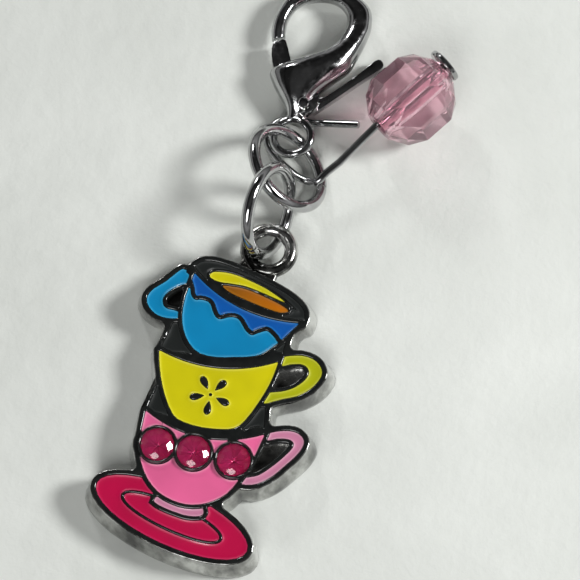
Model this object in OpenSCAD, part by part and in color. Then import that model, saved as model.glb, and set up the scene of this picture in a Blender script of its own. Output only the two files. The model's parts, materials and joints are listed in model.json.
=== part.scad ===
// Dangle charm: an enamelled plate of three stacked teacups on two jump rings,
// a lobster clasp, and a faceted bead on a head pin, all lying on a table.

/* [Plate] */
// Thickness of the cast plate, from its back to the tops of the raised lines
plate_t = 2.2; // [1.9:0.1:2.8]
// How far the plate's sides spread from the face down to the back
side_draft = 0.4; // [0.25:0.05:0.6]
// Width of the metal border round the artwork
border_w = 0.36; // [0.26:0.02:0.5]
// Width of the raised line between two enamels
line_w = 0.26; // [0.2:0.02:0.36]
// Width of the fine lines inside the saucer and the tea
fine_line_w = 0.16; // [0.12:0.02:0.24]
// Depth of the enamel recesses below the line tops
recess_depth = 0.45; // [0.3:0.05:0.7]
// Depth of the bare wells inside the handles
well_depth = 0.9; // [0.85:0.05:1.2]
// How far the enamel lies below the line tops
enamel_drop = 0.07; // [0.03:0.01:0.15]
// Gap between an enamel and the line beside it
enamel_gap = 0.02; // [0.01:0.01:0.05]

/* [Blue cup] */
// Width of the blue cup's rim
blue_w = 7.5; // [6.6:0.1:8.4]
// Depth of the blue cup below its rim
blue_h = 4.1; // [3.6:0.1:4.6]
// Tilt of the blue cup
blue_tilt = -16; // [-22:1:-8]
// Sideways place of the blue cup
blue_x = 0.98; // [0.4:0.02:1.6]
// Height of the blue cup's lowest edge above the yellow cup's rim ends
blue_lift = 0.05; // [-0.2:0.05:0.4]
// How far the front of the blue rim dips below its ends
blue_sag = 0.78; // [0.5:0.02:1]
// Height of the open mouth above the rim ends
mouth_h = 1.5; // [1.2:0.1:1.8]
// Reach of the blue handle
blue_handle_reach = 2.4; // [1.9:0.1:2.9]
// Height of the blue handle
blue_handle_h = 3.45; // [2.9:0.05:4]

/* [Yellow cup] */
// Width of the yellow cup's rim
yellow_w = 7.5; // [6.6:0.1:8.4]
// Depth of the yellow cup below its rim
yellow_h = 4.7; // [4.2:0.1:5.2]
// Tilt of the yellow cup
yellow_tilt = 5.3; // [0:0.1:10]
// How far the front of the yellow rim dips below its ends
yellow_sag = 0.8; // [0.5:0.05:1]
// Reach of the yellow handle
yellow_handle_reach = 3.05; // [2.5:0.05:3.6]
// Height of the yellow handle
yellow_handle_h = 3.65; // [3.1:0.05:4.2]
// Radius of the flower
flower_r = 1.32; // [1:0.02:1.6]
// Length of a petal
petal_l = 0.9; // [0.6:0.05:1.1]
// Width of a petal
petal_w = 0.44; // [0.3:0.02:0.56]

/* [Pink cup and saucer] */
// Width of the pink cup's rim
pink_w = 7.6; // [6.8:0.1:8.4]
// Depth of the pink cup below its rim
pink_h = 5.4; // [4.8:0.1:6]
// Tilt of the pink cup
pink_tilt = -1; // [-6:1:4]
// Height of the pink cup's rim ends above the yellow cup's lowest edge
pink_rise = 0.26; // [0:0.02:0.5]
// How far the front of the pink rim dips below its ends
pink_sag = 1.02; // [0.7:0.02:1.3]
// Reach of the pink handle
pink_handle_reach = 3.15; // [2.6:0.05:3.7]
// Height of the pink handle
pink_handle_h = 4; // [3.4:0.1:4.6]
// Width of the pink foot
foot_w = 3.2; // [2.6:0.1:3.8]
// Height of the pink foot
foot_h = 0.7; // [0.6:0.05:0.9]
// Length of the saucer
saucer_w = 10.4; // [9.4:0.1:11.4]
// Breadth of the saucer, as drawn
saucer_h = 3.55; // [3.1:0.05:4]
// Tilt of the saucer
saucer_tilt = -14; // [-20:1:-8]
// Distance from the pink cup's lowest edge down to the saucer's centre
saucer_drop = 0.96; // [0.7:0.02:1.2]
// Length of the saucer's inner oval
oval_w = 6.6; // [5.6:0.1:7.4]
// Breadth of the saucer's inner oval
oval_h = 1.5; // [1.1:0.05:1.8]

/* [Stones] */
// Diameter of a stone
stone_d = 2.1; // [1.7:0.05:2.3]
// Wall of a stone setting
setting_wall = 0.15; // [0.1:0.01:0.2]
// Rise of a stone setting above the plate's lines
setting_rise = 0.18; // [0.1:0.02:0.3]
// Gap between a stone and its setting
stone_gap = 0.02; // [0.01:0.01:0.04]

/* [Pendant loop] */
// Radius of the hole in the pendant's loop
loop_hole_r = 0.97; // [0.94:0.01:1.06]
// Width of the loop's metal
loop_w = 0.92; // [0.8:0.02:0.96]
// Height of the loop's metal
loop_h = 0.84; // [0.7:0.02:0.88]
// Height of the loop's middle above the table
loop_z = 1.45; // [1.4:0.01:1.6]
// Distance from the loop's centre to the plate's edge
loop_reach = 1.95; // [1.8:0.05:2.1]

/* [Jump rings] */
// Radius of a jump ring, to the middle of its wire
ring_r = 2.83; // [2.78:0.01:2.9]
// Diameter of the jump rings' wire
ring_wire = 0.8; // [0.66:0.02:0.84]
// Width of the slit where a ring closes
ring_slit = 0.06; // [0.03:0.01:0.12]

/* [Clasp] */
// Length from the base loop's centre to the top of the hook
clasp_l = 10.9; // [10.5:0.1:11.6]
// Width of the hook ring
clasp_w = 6.5; // [6.2:0.1:7]
// Thickness of the clasp's body
clasp_t = 2.66; // [2.6:0.02:2.8]
// Outer radius of the base loop
base_loop_r = 1.52; // [1.5:0.01:1.56]
// Diameter of the base loop's wire
base_loop_wire = 0.56; // [0.5:0.02:0.58]
// Roll of the base loop, in degrees
base_loop_roll = -7.3; // [-9:0.1:-5]
// Thickness of the trigger
trigger_t = 0.8; // [0.6:0.05:0.9]
// Thickness of the trigger's thumb arm
arm_t = 0.6; // [0.4:0.05:0.7]
// Radius of the pivot pin
pivot_r = 0.3; // [0.24:0.02:0.36]
// Running gap between the trigger and the pin or the slot
trigger_gap = 0.05; // [0.03:0.01:0.08]
// How far the trigger opens, in degrees
trigger_travel = 12; // [8:1:15]

/* [Head pin and bead] */
// Diameter of the head pin's wire
pin_wire = 0.5; // [0.4:0.02:0.56]
// Diameter of the pin's flat head
pin_head_d = 2.4; // [2:0.1:2.8]
// Thickness of the pin's flat head
pin_head_t = 0.4; // [0.3:0.05:0.5]
// Diameter of the bead over its facets' corners
bead_d = 6; // [5.6:0.1:6.2]
// Diameter of the hole through the bead
bead_hole_d = 1.2; // [1.1:0.05:1.5]
// How far the bead hangs off the pin's middle
bead_slack = 0.24; // [0:0.02:0.28]

/* [Hidden] */

// Colours
metal = [0.62, 0.63, 0.64];
light_blue = [0.0, 0.52, 0.72];
dark_blue = [0.0, 0.33, 0.66];
yellow = [0.82, 0.80, 0.0];
olive_yellow = [0.70, 0.71, 0.05];
tea_brown = [0.66, 0.38, 0.02];
pink = [0.90, 0.42, 0.60];
dusty_pink = [0.78, 0.50, 0.62];
crimson = [0.72, 0.0, 0.22];
ground_black = [0.12, 0.13, 0.13];
stone_red = [0.70, 0.06, 0.28];
bead_pink = [0.95, 0.62, 0.70, 0.6];

// Smoothness of curves: points on each span of a smooth outline, and sides of the round parts
curve_steps = 2;
arc_sides = 32;

// Small sizes that keep the build clean
hair = 0.01;
over = 1;
lap = 0.1;
sliver_r = 0.06;
notch_r = 0.3;

// Outlines of the bowls, from the left end of the rim round the bottom to the right end:
// [share of the width, share of the depth]
blue_bowl = [
    [-0.51, 0.10], [-0.488, -0.15], [-0.47, -0.42], [-0.42, -0.70], [-0.35, -0.90], [-0.25, -1.06],
    [-0.13, -1.13], [0.01, -1.07], [0.14, -0.95], [0.26, -0.83], [0.345, -0.70], [0.41, -0.48],
    [0.45, -0.30], [0.49, -0.08], [0.53, 0.12]
];
yellow_bowl = [
    [-0.525, 0.14], [-0.505, -0.12], [-0.475, -0.36], [-0.42, -0.62], [-0.335, -0.87], [-0.24, -0.96],
    [-0.08, -1.01], [0.08, -1.01], [0.19, -0.98], [0.27, -0.87], [0.37, -0.60], [0.445, -0.34],
    [0.49, -0.10], [0.52, 0.14]
];
pink_bowl = [
    [-0.50, 0.14], [-0.50, -0.22], [-0.48, -0.46], [-0.44, -0.62], [-0.36, -0.79], [-0.25, -0.92],
    [-0.12, -0.985], [0.0, -1.0], [0.11, -0.97], [0.21, -0.90], [0.31, -0.78], [0.38, -0.60],
    [0.44, -0.40], [0.48, -0.20], [0.53, 0.14]
];
// Scalloped line between the blue band and the cup: [share of the width, share of the depth]
blue_wave = [
    [-0.54, -0.12], [-0.47, -0.25], [-0.43, -0.35], [-0.385, -0.385], [-0.34, -0.345], [-0.285, -0.325],
    [-0.245, -0.35], [-0.20, -0.43], [-0.155, -0.49], [-0.11, -0.49], [-0.06, -0.41], [-0.01, -0.365],
    [0.035, -0.37], [0.08, -0.42], [0.13, -0.48], [0.19, -0.50], [0.235, -0.42], [0.285, -0.335],
    [0.33, -0.345], [0.38, -0.38], [0.42, -0.42], [0.55, -0.45]
];
// Patches inside the mouth: [share of the rim's width, share of the mouth's height]
rim_patch = [
    [-0.375, 0.20], [-0.355, 0.42], [-0.25, 0.64], [-0.14, 0.74], [-0.03, 0.76], [0.09, 0.76],
    [0.21, 0.69], [0.32, 0.56], [0.17, 0.53], [0.03, 0.49], [-0.06, 0.41], [-0.16, 0.28], [-0.27, 0.12],
    [-0.345, 0.10]
];
tea_patch = [
    [-0.235, 0.04], [-0.15, 0.20], [-0.07, 0.32], [0.02, 0.38], [0.17, 0.41], [0.30, 0.39],
    [0.375, 0.29], [0.33, 0.09], [0.25, 0.0], [0.14, -0.06], [0.02, -0.09], [-0.09, -0.11], [-0.18, -0.08]
];
// Outer and inner outlines of the handles: [share of the reach, share of the height]
blue_handle_outer = [
    [0.15, 0.40], [-0.04, 0.44], [-0.22, 0.485], [-0.38, 0.38], [-0.61, 0.18], [-0.88, 0.0], [-1.0, -0.16],
    [-0.97, -0.29], [-0.86, -0.39], [-0.70, -0.47], [-0.50, -0.51], [-0.28, -0.51], [-0.05, -0.48], [0.25, -0.42]
];
blue_handle_inner = [
    [0.2, 0.24], [-0.06, 0.21], [-0.30, 0.11], [-0.45, 0.01], [-0.555, -0.10], [-0.57, -0.20], [-0.51, -0.29],
    [-0.40, -0.33], [-0.22, -0.335], [0.2, -0.33]
];
yellow_handle_outer = [
    [-0.25, 0.34], [0.10, 0.40], [0.27, 0.45], [0.52, 0.495], [0.75, 0.47], [0.92, 0.38], [1.0, 0.25],
    [0.96, 0.10], [0.82, -0.08], [0.59, -0.24], [0.31, -0.34], [0.11, -0.42], [-0.08, -0.49], [-0.35, -0.44]
];
yellow_handle_inner = [
    [-0.5, 0.12], [0.12, 0.23], [0.31, 0.295], [0.53, 0.335], [0.67, 0.295], [0.725, 0.20], [0.68, 0.08],
    [0.54, -0.06], [0.35, -0.17], [0.08, -0.25], [-0.6, -0.38]
];
pink_handle_outer = [
    [-0.15, 0.34], [0.22, 0.39], [0.43, 0.455], [0.67, 0.50], [0.87, 0.48], [0.995, 0.39], [0.99, 0.27],
    [0.89, 0.11], [0.72, -0.07], [0.53, -0.26], [0.34, -0.39], [0.15, -0.47], [-0.10, -0.49], [-0.40, -0.44]
];
pink_handle_inner = [
    [-0.5, 0.12], [0.23, 0.265], [0.46, 0.335], [0.66, 0.36], [0.78, 0.33], [0.80, 0.25], [0.69, 0.10],
    [0.49, -0.10], [0.28, -0.27], [0.12, -0.34], [-0.09, -0.375], [-0.65, -0.36]
];
// Outline of the foot: [share of its width, share of its height]
foot_outline = [
    [-0.51, -0.33], [-0.27, -0.72], [0.0, -0.93], [0.21, -1.0], [0.44, -0.80], [0.5, -0.40], [0.45, 0.05],
    [0.36, 0.7], [-0.38, 0.8], [-0.45, 0.31]
];
// Places of the stones in the pink cup: share of its width from the middle
stone_places = [-0.34, -0.035, 0.305];
stone_depth = -0.375;

// Sections of the clasp along its hook, from the base loop to the hook's tip: [inner edge across,
// inner edge along, outer edge across, outer edge along, thickness], shares of width, length, thickness
clasp_sections = [
    [-0.085, 0.105, 0.095, 0.105, 0.28], [-0.105, 0.15, 0.11, 0.15, 0.44], [-0.15, 0.195, 0.118, 0.195, 0.62],
    [-0.225, 0.25, 0.13, 0.255, 0.80], [-0.31, 0.32, 0.225, 0.335, 0.94], [-0.355, 0.388, 0.345, 0.415, 1.0],
    [-0.25, 0.445, 0.44, 0.48, 0.97], [-0.09, 0.495, 0.485, 0.55, 0.90], [0.085, 0.55, 0.525, 0.63, 0.80],
    [0.23, 0.635, 0.555, 0.705, 0.70], [0.31, 0.75, 0.572, 0.79, 0.62], [0.30, 0.835, 0.53, 0.90, 0.58],
    [0.215, 0.89, 0.37, 0.972, 0.54], [0.09, 0.91, 0.135, 1.0, 0.5], [-0.075, 0.89, -0.135, 0.978, 0.49],
    [-0.21, 0.835, -0.32, 0.905, 0.47], [-0.275, 0.745, -0.41, 0.78, 0.44], [-0.28, 0.67, -0.43, 0.67, 0.42],
    [-0.27, 0.622, -0.402, 0.588, 0.36]
];
// Trigger outlines in the same shares: [across, along]
trigger_finger = [
    [0.10, 0.235], [0.0, 0.30], [-0.12, 0.415], [-0.18, 0.49], [-0.262, 0.598], [-0.325, 0.588],
    [-0.382, 0.562], [-0.372, 0.485], [-0.31, 0.39], [-0.17, 0.27], [-0.05, 0.17]
];
trigger_arm = [
    [0.02, 0.15], [0.13, 0.165], [0.33, 0.285], [0.50, 0.395], [0.625, 0.472], [0.735, 0.535], [0.765, 0.572],
    [0.725, 0.602], [0.665, 0.588], [0.54, 0.492], [0.385, 0.388], [0.24, 0.30], [0.10, 0.255]
];
// Where the arm has left the body and drops to its lower level, as a share of the width
arm_step = 0.19;
pivot_at = [0.054, 0.202];
hub_r = 0.62;

// Route of the head pin's loop round the clasp's base loop, from the bead's end to the cut end:
// [across, along] from the base loop's centre in shares of its radius, [height] in shares of its middle's height
pin_route = [
    [2.25, -0.98, 1.62], [1.78, -1.52, 1.50], [1.49, -1.90, 1.34], [1.12, -1.93, 1.14], [0.62, -1.76, 0.92],
    [0.04, -1.36, 0.68], [-0.52, -0.90, 0.45], [-0.96, -0.40, 0.28], [-1.11, 0.10, 0.24], [-0.99, 0.55, 0.24],
    [-0.67, 0.90, 0.24], [-0.20, 1.07, 0.25], [0.28, 1.05, 0.28], [0.70, 0.98, 0.42], [1.10, 0.97, 0.66],
    [2.72, 1.02, 1.22]
];
// Where the bead's middle lies: the same shares
bead_at = [4.76, 2.23];

// Derived places of the cups, in the plate's plane, from the flower's centre
yellow_at = [0.05, 0.55 * yellow_h];
blue_at = [blue_x, yellow_at[1] + blue_h + blue_lift];
pink_at = [0, yellow_at[1] - yellow_h + pink_rise];
saucer_at = [-0.8, pink_at[1] - pink_h - saucer_drop];
foot_at = [-0.05 * pink_w, -pink_h];
setting_r = stone_d / 2 + stone_gap + setting_wall;
skirt_t = plate_t - well_depth;
skirt_edge = 0.14;
recess_z = plate_t - recess_depth;
// Where the right dark ground begins, as a share of the blue cup's width from its middle
ground_from = 0.37;
plate_ledge = 0.04;
plate_size = [pink_w + 6, blue_h + yellow_h + pink_h + 9];
plate_middle = [-0.3, pink_at[1]];
girdle_z = plate_t - 0.02;

// Derived places of the loop, the rings and the clasp
loop_mid_r = loop_hole_r + loop_w / 2;
neck_top_w = 1.6 * loop_mid_r;
neck_foot_w = 2.1 * loop_mid_r;
neck_sink = 0.5;
neck_h = 0.7 * loop_h;
neck_drop = 0.42 * loop_h;
loop_at = [blue_x + 0.1 * blue_w, blue_at[1] + mouth_h + loop_reach + 0.22];
lower_tilt = [69.5, -9.9];
upper_tilt = [42.9, 29.4];
lower_ring_at = loop_at + [-0.147, 0.739] * ring_r;
upper_ring_at = lower_ring_at + [0.2025, 1.197] * ring_r;
base_loop_at = upper_ring_at + [-0.073, 0.910] * ring_r;
ring_lift = 0.03;
clasp_z = clasp_t / 2;
bead_z = bead_d / 2;
bead_centre = [bead_at[0] * base_loop_r, bead_at[1] * base_loop_r, bead_z];
pin_start = [for (k = [0 : 2]) pin_route[0][k] * (k == 2 ? clasp_z : base_loop_r)];
pin_way = (bead_centre - pin_start) / norm(bead_centre - pin_start);
pin_turn = atan2(pin_way[1], pin_way[0]);
pin_rise = asin(pin_way[2]);

// Where the plate's own middle lies in the charm's frame
charm_shift = [-2.53, -9.13];

// A point between b and c on a smooth curve through a, b, c and d
function curve_point(a, b, c, d, t) =
    0.5 * (2 * b + (c - a) * t + (2 * a - 5 * b + 4 * c - d) * t * t + (3 * b - a - 3 * c + d) * t * t * t);

// Smooth closed curve through the points p
function smooth_loop(p) = let (n = len(p)) [
    for (i = [0 : n - 1], k = [0 : curve_steps - 1])
        curve_point(p[(i + n - 1) % n], p[i], p[(i + 1) % n], p[(i + 2) % n], k / curve_steps)
];

// Smooth open curve through the points p
function smooth_line(p, steps = curve_steps) = let (n = len(p)) concat([
    for (i = [0 : n - 2], k = [0 : steps - 1])
        curve_point(p[max(i - 1, 0)], p[i], p[i + 1], p[min(i + 2, n - 1)], k / steps)
], [p[n - 1]]);

// The rows of a table, with its first two columns scaled to real sizes
function sized(table, w, h) = [for (r = table) [r[0] * w, r[1] * h]];

// A point of a cup's table, moved to the plate
function placed(at, tilt, p) = at + [p[0] * cos(tilt) - p[1] * sin(tilt), p[0] * sin(tilt) + p[1] * cos(tilt)];

// Ellipse and half of a squarish ellipse
function oval(w, h) = [
    for (i = [0 : arc_sides - 1]) let (a = 360 * i / arc_sides) [w / 2 * cos(a), h / 2 * sin(a)]
];
function squarish(x, power) = sign(x) * pow(abs(x), power);
function arch(w, h) = [
    for (i = [0 : arc_sides / 2]) let (a = 360 * i / arc_sides)
        [w / 2 * squarish(cos(a), 2 / 3), h * squarish(sin(a), 2 / 3)]
];

// The front edge of a cup's rim, a shallow dip between its two ends
function rim_edge(w, sag) = [
    for (i = [-7 : 7]) let (u = i / 7 * 0.6) [u * w, -sag * (1 - 4 * u * u)]
];

// Faces of a solid made of closed rings, each with the same number of points
function ring_faces(rings, sides) = concat(
    [[for (k = [0 : sides - 1]) k]],
    [[for (k = [0 : sides - 1]) rings * sides - 1 - k]],
    [for (i = [0 : rings - 2], k = [0 : sides - 1]) let (j = (k + 1) % sides)
        [i * sides + k, (i + 1) * sides + k, i * sides + j]],
    [for (i = [0 : rings - 2], k = [0 : sides - 1]) let (j = (k + 1) % sides)
        [i * sides + j, (i + 1) * sides + k, (i + 1) * sides + j]]
);

module blue_frame() {
    translate(blue_at) rotate(blue_tilt) children();
}

module yellow_frame() {
    translate(yellow_at) rotate(yellow_tilt) children();
}

module pink_frame() {
    translate(pink_at) rotate(pink_tilt) children();
}

// A bowl below its rim's front edge
module bowl_2d(table, w, h, sag) {
    intersection() {
        polygon(smooth_line(sized(table, w, h)));
        polygon(concat(rim_edge(w, sag), [[0.6 * w, -1.3 * h], [-0.6 * w, -1.3 * h]]));
    }
}

module blue_bowl_2d() {
    blue_frame() bowl_2d(blue_bowl, blue_w, blue_h, blue_sag);
}

module yellow_bowl_2d() {
    yellow_frame() bowl_2d(yellow_bowl, yellow_w, yellow_h, yellow_sag);
}

module pink_bowl_2d() {
    pink_frame() bowl_2d(pink_bowl, pink_w, pink_h, pink_sag);
}

// The part of the blue cup below its scalloped line
module below_wave_2d() {
    wave = smooth_line(sized(blue_wave, blue_w, blue_h), 3);
    blue_frame() polygon(concat(wave, [[0.6 * blue_w, -1.4 * blue_h], [-0.6 * blue_w, -1.4 * blue_h]]));
}

// The dark mouth of the blue cup, from the rim's front edge up
module mouth_2d() {
    edge = rim_edge(blue_w, blue_sag);
    blue_frame() polygon(concat(arch(1.06 * blue_w, mouth_h), [for (p = edge) if (abs(p[0]) < blue_w / 2) p]));
}

module rim_patch_2d() {
    difference() {
        blue_frame() polygon(smooth_loop(sized(rim_patch, blue_w, mouth_h)));
        offset(delta = fine_line_w) tea_patch_2d();
    }
}

module tea_patch_2d() {
    blue_frame() polygon(smooth_loop(sized(tea_patch, blue_w, mouth_h)));
}

module blue_handle_2d(outline) {
    translate(placed(blue_at, blue_tilt, [-0.475 * blue_w, -0.38 * blue_h]))
        polygon(smooth_loop(sized(outline, blue_handle_reach, blue_handle_h)));
}

module yellow_handle_2d(outline) {
    translate(placed(yellow_at, yellow_tilt, [0.465 * yellow_w, -0.23 * yellow_h]))
        polygon(smooth_loop(sized(outline, yellow_handle_reach, yellow_handle_h)));
}

module pink_handle_2d(outline) {
    translate(placed(pink_at, pink_tilt, [0.43 * pink_w, -0.27 * pink_h]))
        polygon(smooth_loop(sized(outline, pink_handle_reach, pink_handle_h)));
}

// Black ground between two cups, a patch through points of both
module middle_ground_2d() {
    polygon([
        placed(blue_at, blue_tilt, [-0.47 * blue_w, -0.36 * blue_h]),
        placed(yellow_at, yellow_tilt, [-0.51 * yellow_w, 0]),
        placed(yellow_at, yellow_tilt, [0.51 * yellow_w, 0]),
        placed(blue_at, blue_tilt, [0.47 * blue_w, -0.25 * blue_h])
    ]);
}

module lower_ground_2d() {
    polygon([
        placed(yellow_at, yellow_tilt, [-0.475 * yellow_w, -0.4 * yellow_h]),
        placed(pink_at, pink_tilt, [-0.50 * pink_w, 0]),
        placed(pink_at, pink_tilt, [0.50 * pink_w, 0]),
        placed(yellow_at, yellow_tilt, [0.43 * yellow_w, -0.4 * yellow_h])
    ]);
}

module foot_2d() {
    difference() {
        pink_frame() translate(foot_at) polygon(smooth_loop(sized(foot_outline, foot_w, foot_h)));
        offset(r = line_w) pink_bowl_2d();
    }
}

module saucer_2d() {
    translate(saucer_at) rotate(saucer_tilt) polygon(oval(saucer_w, saucer_h));
}

module saucer_oval_2d() {
    translate(saucer_at) rotate(saucer_tilt) polygon(oval(oval_w, oval_h));
}

// One petal, pointed at the flower's middle and round at its outer end
module petal_2d() {
    polygon([for (i = [0 : 15]) let (a = 360 * i / 16)
        [petal_l / 2 * (1 - cos(a)), 0.65 * petal_w * sin(a) * sin(a / 2)]]);
}

module flower_2d() {
    for (k = [0 : 4]) {
        rotate(54 + 72 * k) translate([flower_r - petal_l, 0]) petal_2d();
    }
    circle(d = 0.2, $fn = 8);
}

module at_stones() {
    for (u = stone_places) {
        pink_frame() translate([u * pink_w, stone_depth * pink_h]) children();
    }
}

// All the artwork and the ground between it
module artwork_2d() {
    blue_bowl_2d();
    mouth_2d();
    blue_handle_2d(blue_handle_outer);
    yellow_bowl_2d();
    yellow_handle_2d(yellow_handle_outer);
    pink_bowl_2d();
    pink_handle_2d(pink_handle_outer);
    middle_ground_2d();
    lower_ground_2d();
    foot_2d();
    saucer_2d();
    at_stones() circle(r = setting_r, $fn = 24);
}

// Outline of the plate's face: a border round the artwork, with its inner corners rounded
module face_2d() {
    offset(r = -notch_r, $fn = 12) offset(r = notch_r + border_w, $fn = 16) artwork_2d();
}

// Takes slivers and sharp corners off a patch
module clean_2d() {
    offset(r = sliver_r, $fn = 8) offset(delta = -sliver_r) children();
}

// The enamelled patches
module blue_cup_2d() {
    clean_2d() intersection() {
        blue_bowl_2d();
        below_wave_2d();
    }
}

module blue_band_2d() {
    clean_2d() difference() {
        blue_bowl_2d();
        offset(delta = line_w) below_wave_2d();
    }
}

module blue_handle_patch_2d() {
    clean_2d() difference() {
        blue_handle_2d(blue_handle_outer);
        blue_handle_2d(blue_handle_inner);
        offset(delta = line_w) blue_bowl_2d();
        offset(delta = line_w) mouth_2d();
    }
}

module yellow_cup_2d() {
    difference() {
        clean_2d() yellow_bowl_2d();
        flower_2d();
    }
}

module yellow_handle_patch_2d() {
    clean_2d() difference() {
        yellow_handle_2d(yellow_handle_outer);
        yellow_handle_2d(yellow_handle_inner);
        offset(delta = line_w) yellow_bowl_2d();
        yellow_frame() translate([0, -line_w]) square([0.5 * yellow_w + line_w, yellow_h]);
    }
}

// The pink cup with its stones' settings taken out
module pink_patches_2d() {
    clean_2d() difference() {
        pink_bowl_2d();
        at_stones() circle(r = setting_r + 0.05, $fn = 24);
    }
}

// A slab of the plate's plane beside or below the stones' middles
module beside_stones_2d(left, right, bottom, top) {
    pink_frame() translate([left, stone_depth * pink_h + bottom]) square([right - left, top - bottom]);
}

module pink_cup_2d() {
    intersection() {
        pink_patches_2d();
        beside_stones_2d(-pink_w, pink_w, -pink_h, 0);
    }
}

// Edges between the peaks are the stones' middles
module pink_peak_2d(k) {
    edges = concat([-1], stone_places, [1]) * pink_w;
    intersection() {
        pink_patches_2d();
        beside_stones_2d(edges[k], edges[k + 1], 0.15, pink_h);
    }
}

module pink_handle_patch_2d() {
    clean_2d() difference() {
        pink_handle_2d(pink_handle_outer);
        pink_handle_2d(pink_handle_inner);
        offset(delta = line_w) pink_bowl_2d();
        offset(delta = line_w) saucer_2d();
    }
}

module foot_patch_2d() {
    clean_2d() foot_2d();
}

module saucer_patch_2d() {
    clean_2d() difference() {
        saucer_2d();
        offset(delta = line_w) pink_bowl_2d();
        offset(delta = line_w) foot_2d();
        offset(delta = fine_line_w) saucer_oval_2d();
    }
}

module saucer_oval_patch_2d() {
    clean_2d() difference() {
        saucer_oval_2d();
        offset(delta = line_w) pink_bowl_2d();
        offset(delta = line_w) foot_2d();
    }
}

module dark_top_2d() {
    clean_2d() difference() {
        mouth_2d();
        blue_frame() translate([-0.37 * blue_w, -blue_sag]) square([0.72 * blue_w, blue_sag + 0.1 * mouth_h]);
        offset(delta = line_w) blue_bowl_2d();
        offset(delta = fine_line_w) rim_patch_2d();
        offset(delta = fine_line_w) tea_patch_2d();
    }
}

// Half of the plate's plane, left or right of the yellow cup's middle
module half_2d(side) {
    yellow_frame() translate([side * yellow_w, 0]) square([2 * yellow_w, 6 * yellow_h], center = true);
}

// The plate's plane right of the blue cup's bowl, where a little ground shows over the yellow cup
module right_of_blue_2d() {
    blue_frame() translate([(1 + ground_from) * blue_w, 0]) square([2 * blue_w, 8 * blue_h], center = true);
}

module dark_middle_2d(side) {
    clean_2d() difference() {
        intersection() {
            middle_ground_2d();
            half_2d(side);
            if (side > 0) right_of_blue_2d();
        }
        offset(delta = line_w) blue_bowl_2d();
        offset(delta = line_w) blue_handle_2d(blue_handle_outer);
        offset(delta = line_w) yellow_bowl_2d();
        offset(delta = line_w) yellow_handle_2d(yellow_handle_outer);
    }
}

module dark_lower_2d(side) {
    clean_2d() difference() {
        intersection() {
            lower_ground_2d();
            half_2d(side);
        }
        offset(delta = line_w) yellow_bowl_2d();
        offset(delta = line_w) yellow_handle_2d(yellow_handle_outer);
        offset(delta = line_w) pink_bowl_2d();
        offset(delta = line_w) pink_handle_2d(pink_handle_outer);
        at_stones() circle(r = setting_r + line_w / 2, $fn = 24);
    }
}

// All the recesses that are filled with enamel
module enamel_patches_2d() {
    blue_cup_2d();
    blue_band_2d();
    blue_handle_patch_2d();
    rim_patch_2d();
    tea_patch_2d();
    dark_top_2d();
    yellow_cup_2d();
    yellow_handle_patch_2d();
    for (side = [-1, 1]) {
        dark_middle_2d(side);
        dark_lower_2d(side);
    }
    pink_cup_2d();
    for (k = [0 : 3]) {
        pink_peak_2d(k);
    }
    pink_handle_patch_2d();
    foot_patch_2d();
    saucer_patch_2d();
    saucer_oval_patch_2d();
}

// The bare wells inside the handles
module handle_wells_2d() {
    clean_2d() difference() {
        offset(delta = -line_w) blue_handle_2d(blue_handle_inner);
        offset(delta = line_w) blue_bowl_2d();
    }
    clean_2d() difference() {
        offset(delta = -line_w) yellow_handle_2d(yellow_handle_inner);
        offset(delta = line_w) yellow_bowl_2d();
    }
    clean_2d() difference() {
        offset(delta = -line_w) pink_handle_2d(pink_handle_inner);
        offset(delta = line_w) pink_bowl_2d();
    }
}

// Moves what lies on the plate to its place in the charm
module in_charm() {
    translate([charm_shift[0], charm_shift[1], 0]) children();
}

// The enamel that fills a recess
module enamel() {
    in_charm() translate([0, 0, recess_z])
        linear_extrude(recess_depth - enamel_drop) offset(delta = -enamel_gap) children();
}

// The lower half of the plate, spread towards its back by the draft, with its back edge cut off
module skirt() {
    spread = [1 + 2 * side_draft / plate_size[0], 1 + 2 * side_draft / plate_size[1]];
    edge_spread = [1 - 2 * skirt_edge / plate_size[0], 1 - 2 * skirt_edge / plate_size[1]];
    translate([plate_middle[0], plate_middle[1], skirt_edge])
        linear_extrude(skirt_t - skirt_edge, scale = [1 / spread[0], 1 / spread[1]]) spread_face_2d(spread);
    translate([plate_middle[0], plate_middle[1], skirt_edge]) mirror([0, 0, 1])
        linear_extrude(skirt_edge, scale = edge_spread) spread_face_2d(spread);
}

module spread_face_2d(spread) {
    scale(spread) translate(-plate_middle) offset(delta = 2 * plate_ledge) face_2d();
}

// The upper half, with the wells left open. It is drawn down from the level of the recesses' floors
// into the skirt, so that both layers have that level exactly
module middle_layer() {
    translate([0, 0, recess_z]) mirror([0, 0, 1]) linear_extrude(recess_z - skirt_t + lap) difference() {
        offset(delta = plate_ledge) face_2d();
        handle_wells_2d();
    }
}

// The raised lines between the wells and the recesses
module line_layer() {
    translate([0, 0, recess_z]) linear_extrude(recess_depth) difference() {
        face_2d();
        enamel_patches_2d();
        handle_wells_2d();
    }
}

// The loop, and the neck that joins it to the plate's edge
module pendant_loop() {
    translate([loop_at[0], loop_at[1], loop_z]) {
        rotate_extrude($fn = 24) translate([loop_mid_r, 0]) polygon(oval_section(loop_w, loop_h));
    }
    translate([0, 0, loop_z - neck_drop]) linear_extrude(neck_h) difference() {
        translate(loop_at) rotate(blue_tilt) polygon([
            [-neck_top_w / 2, -0.55 * loop_mid_r], [neck_top_w / 2, -0.55 * loop_mid_r],
            [neck_foot_w / 2, -loop_reach - neck_sink], [-neck_foot_w / 2, -loop_reach - neck_sink]
        ]);
        translate(loop_at) circle(r = loop_mid_r + 0.02, $fn = 24);
    }
}

// Section of the loop's metal, with twelve sides
function oval_section(w, h) = [for (i = [0 : 11]) let (a = 30 * i) [w / 2 * cos(a), h / 2 * sin(a)]];

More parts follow.
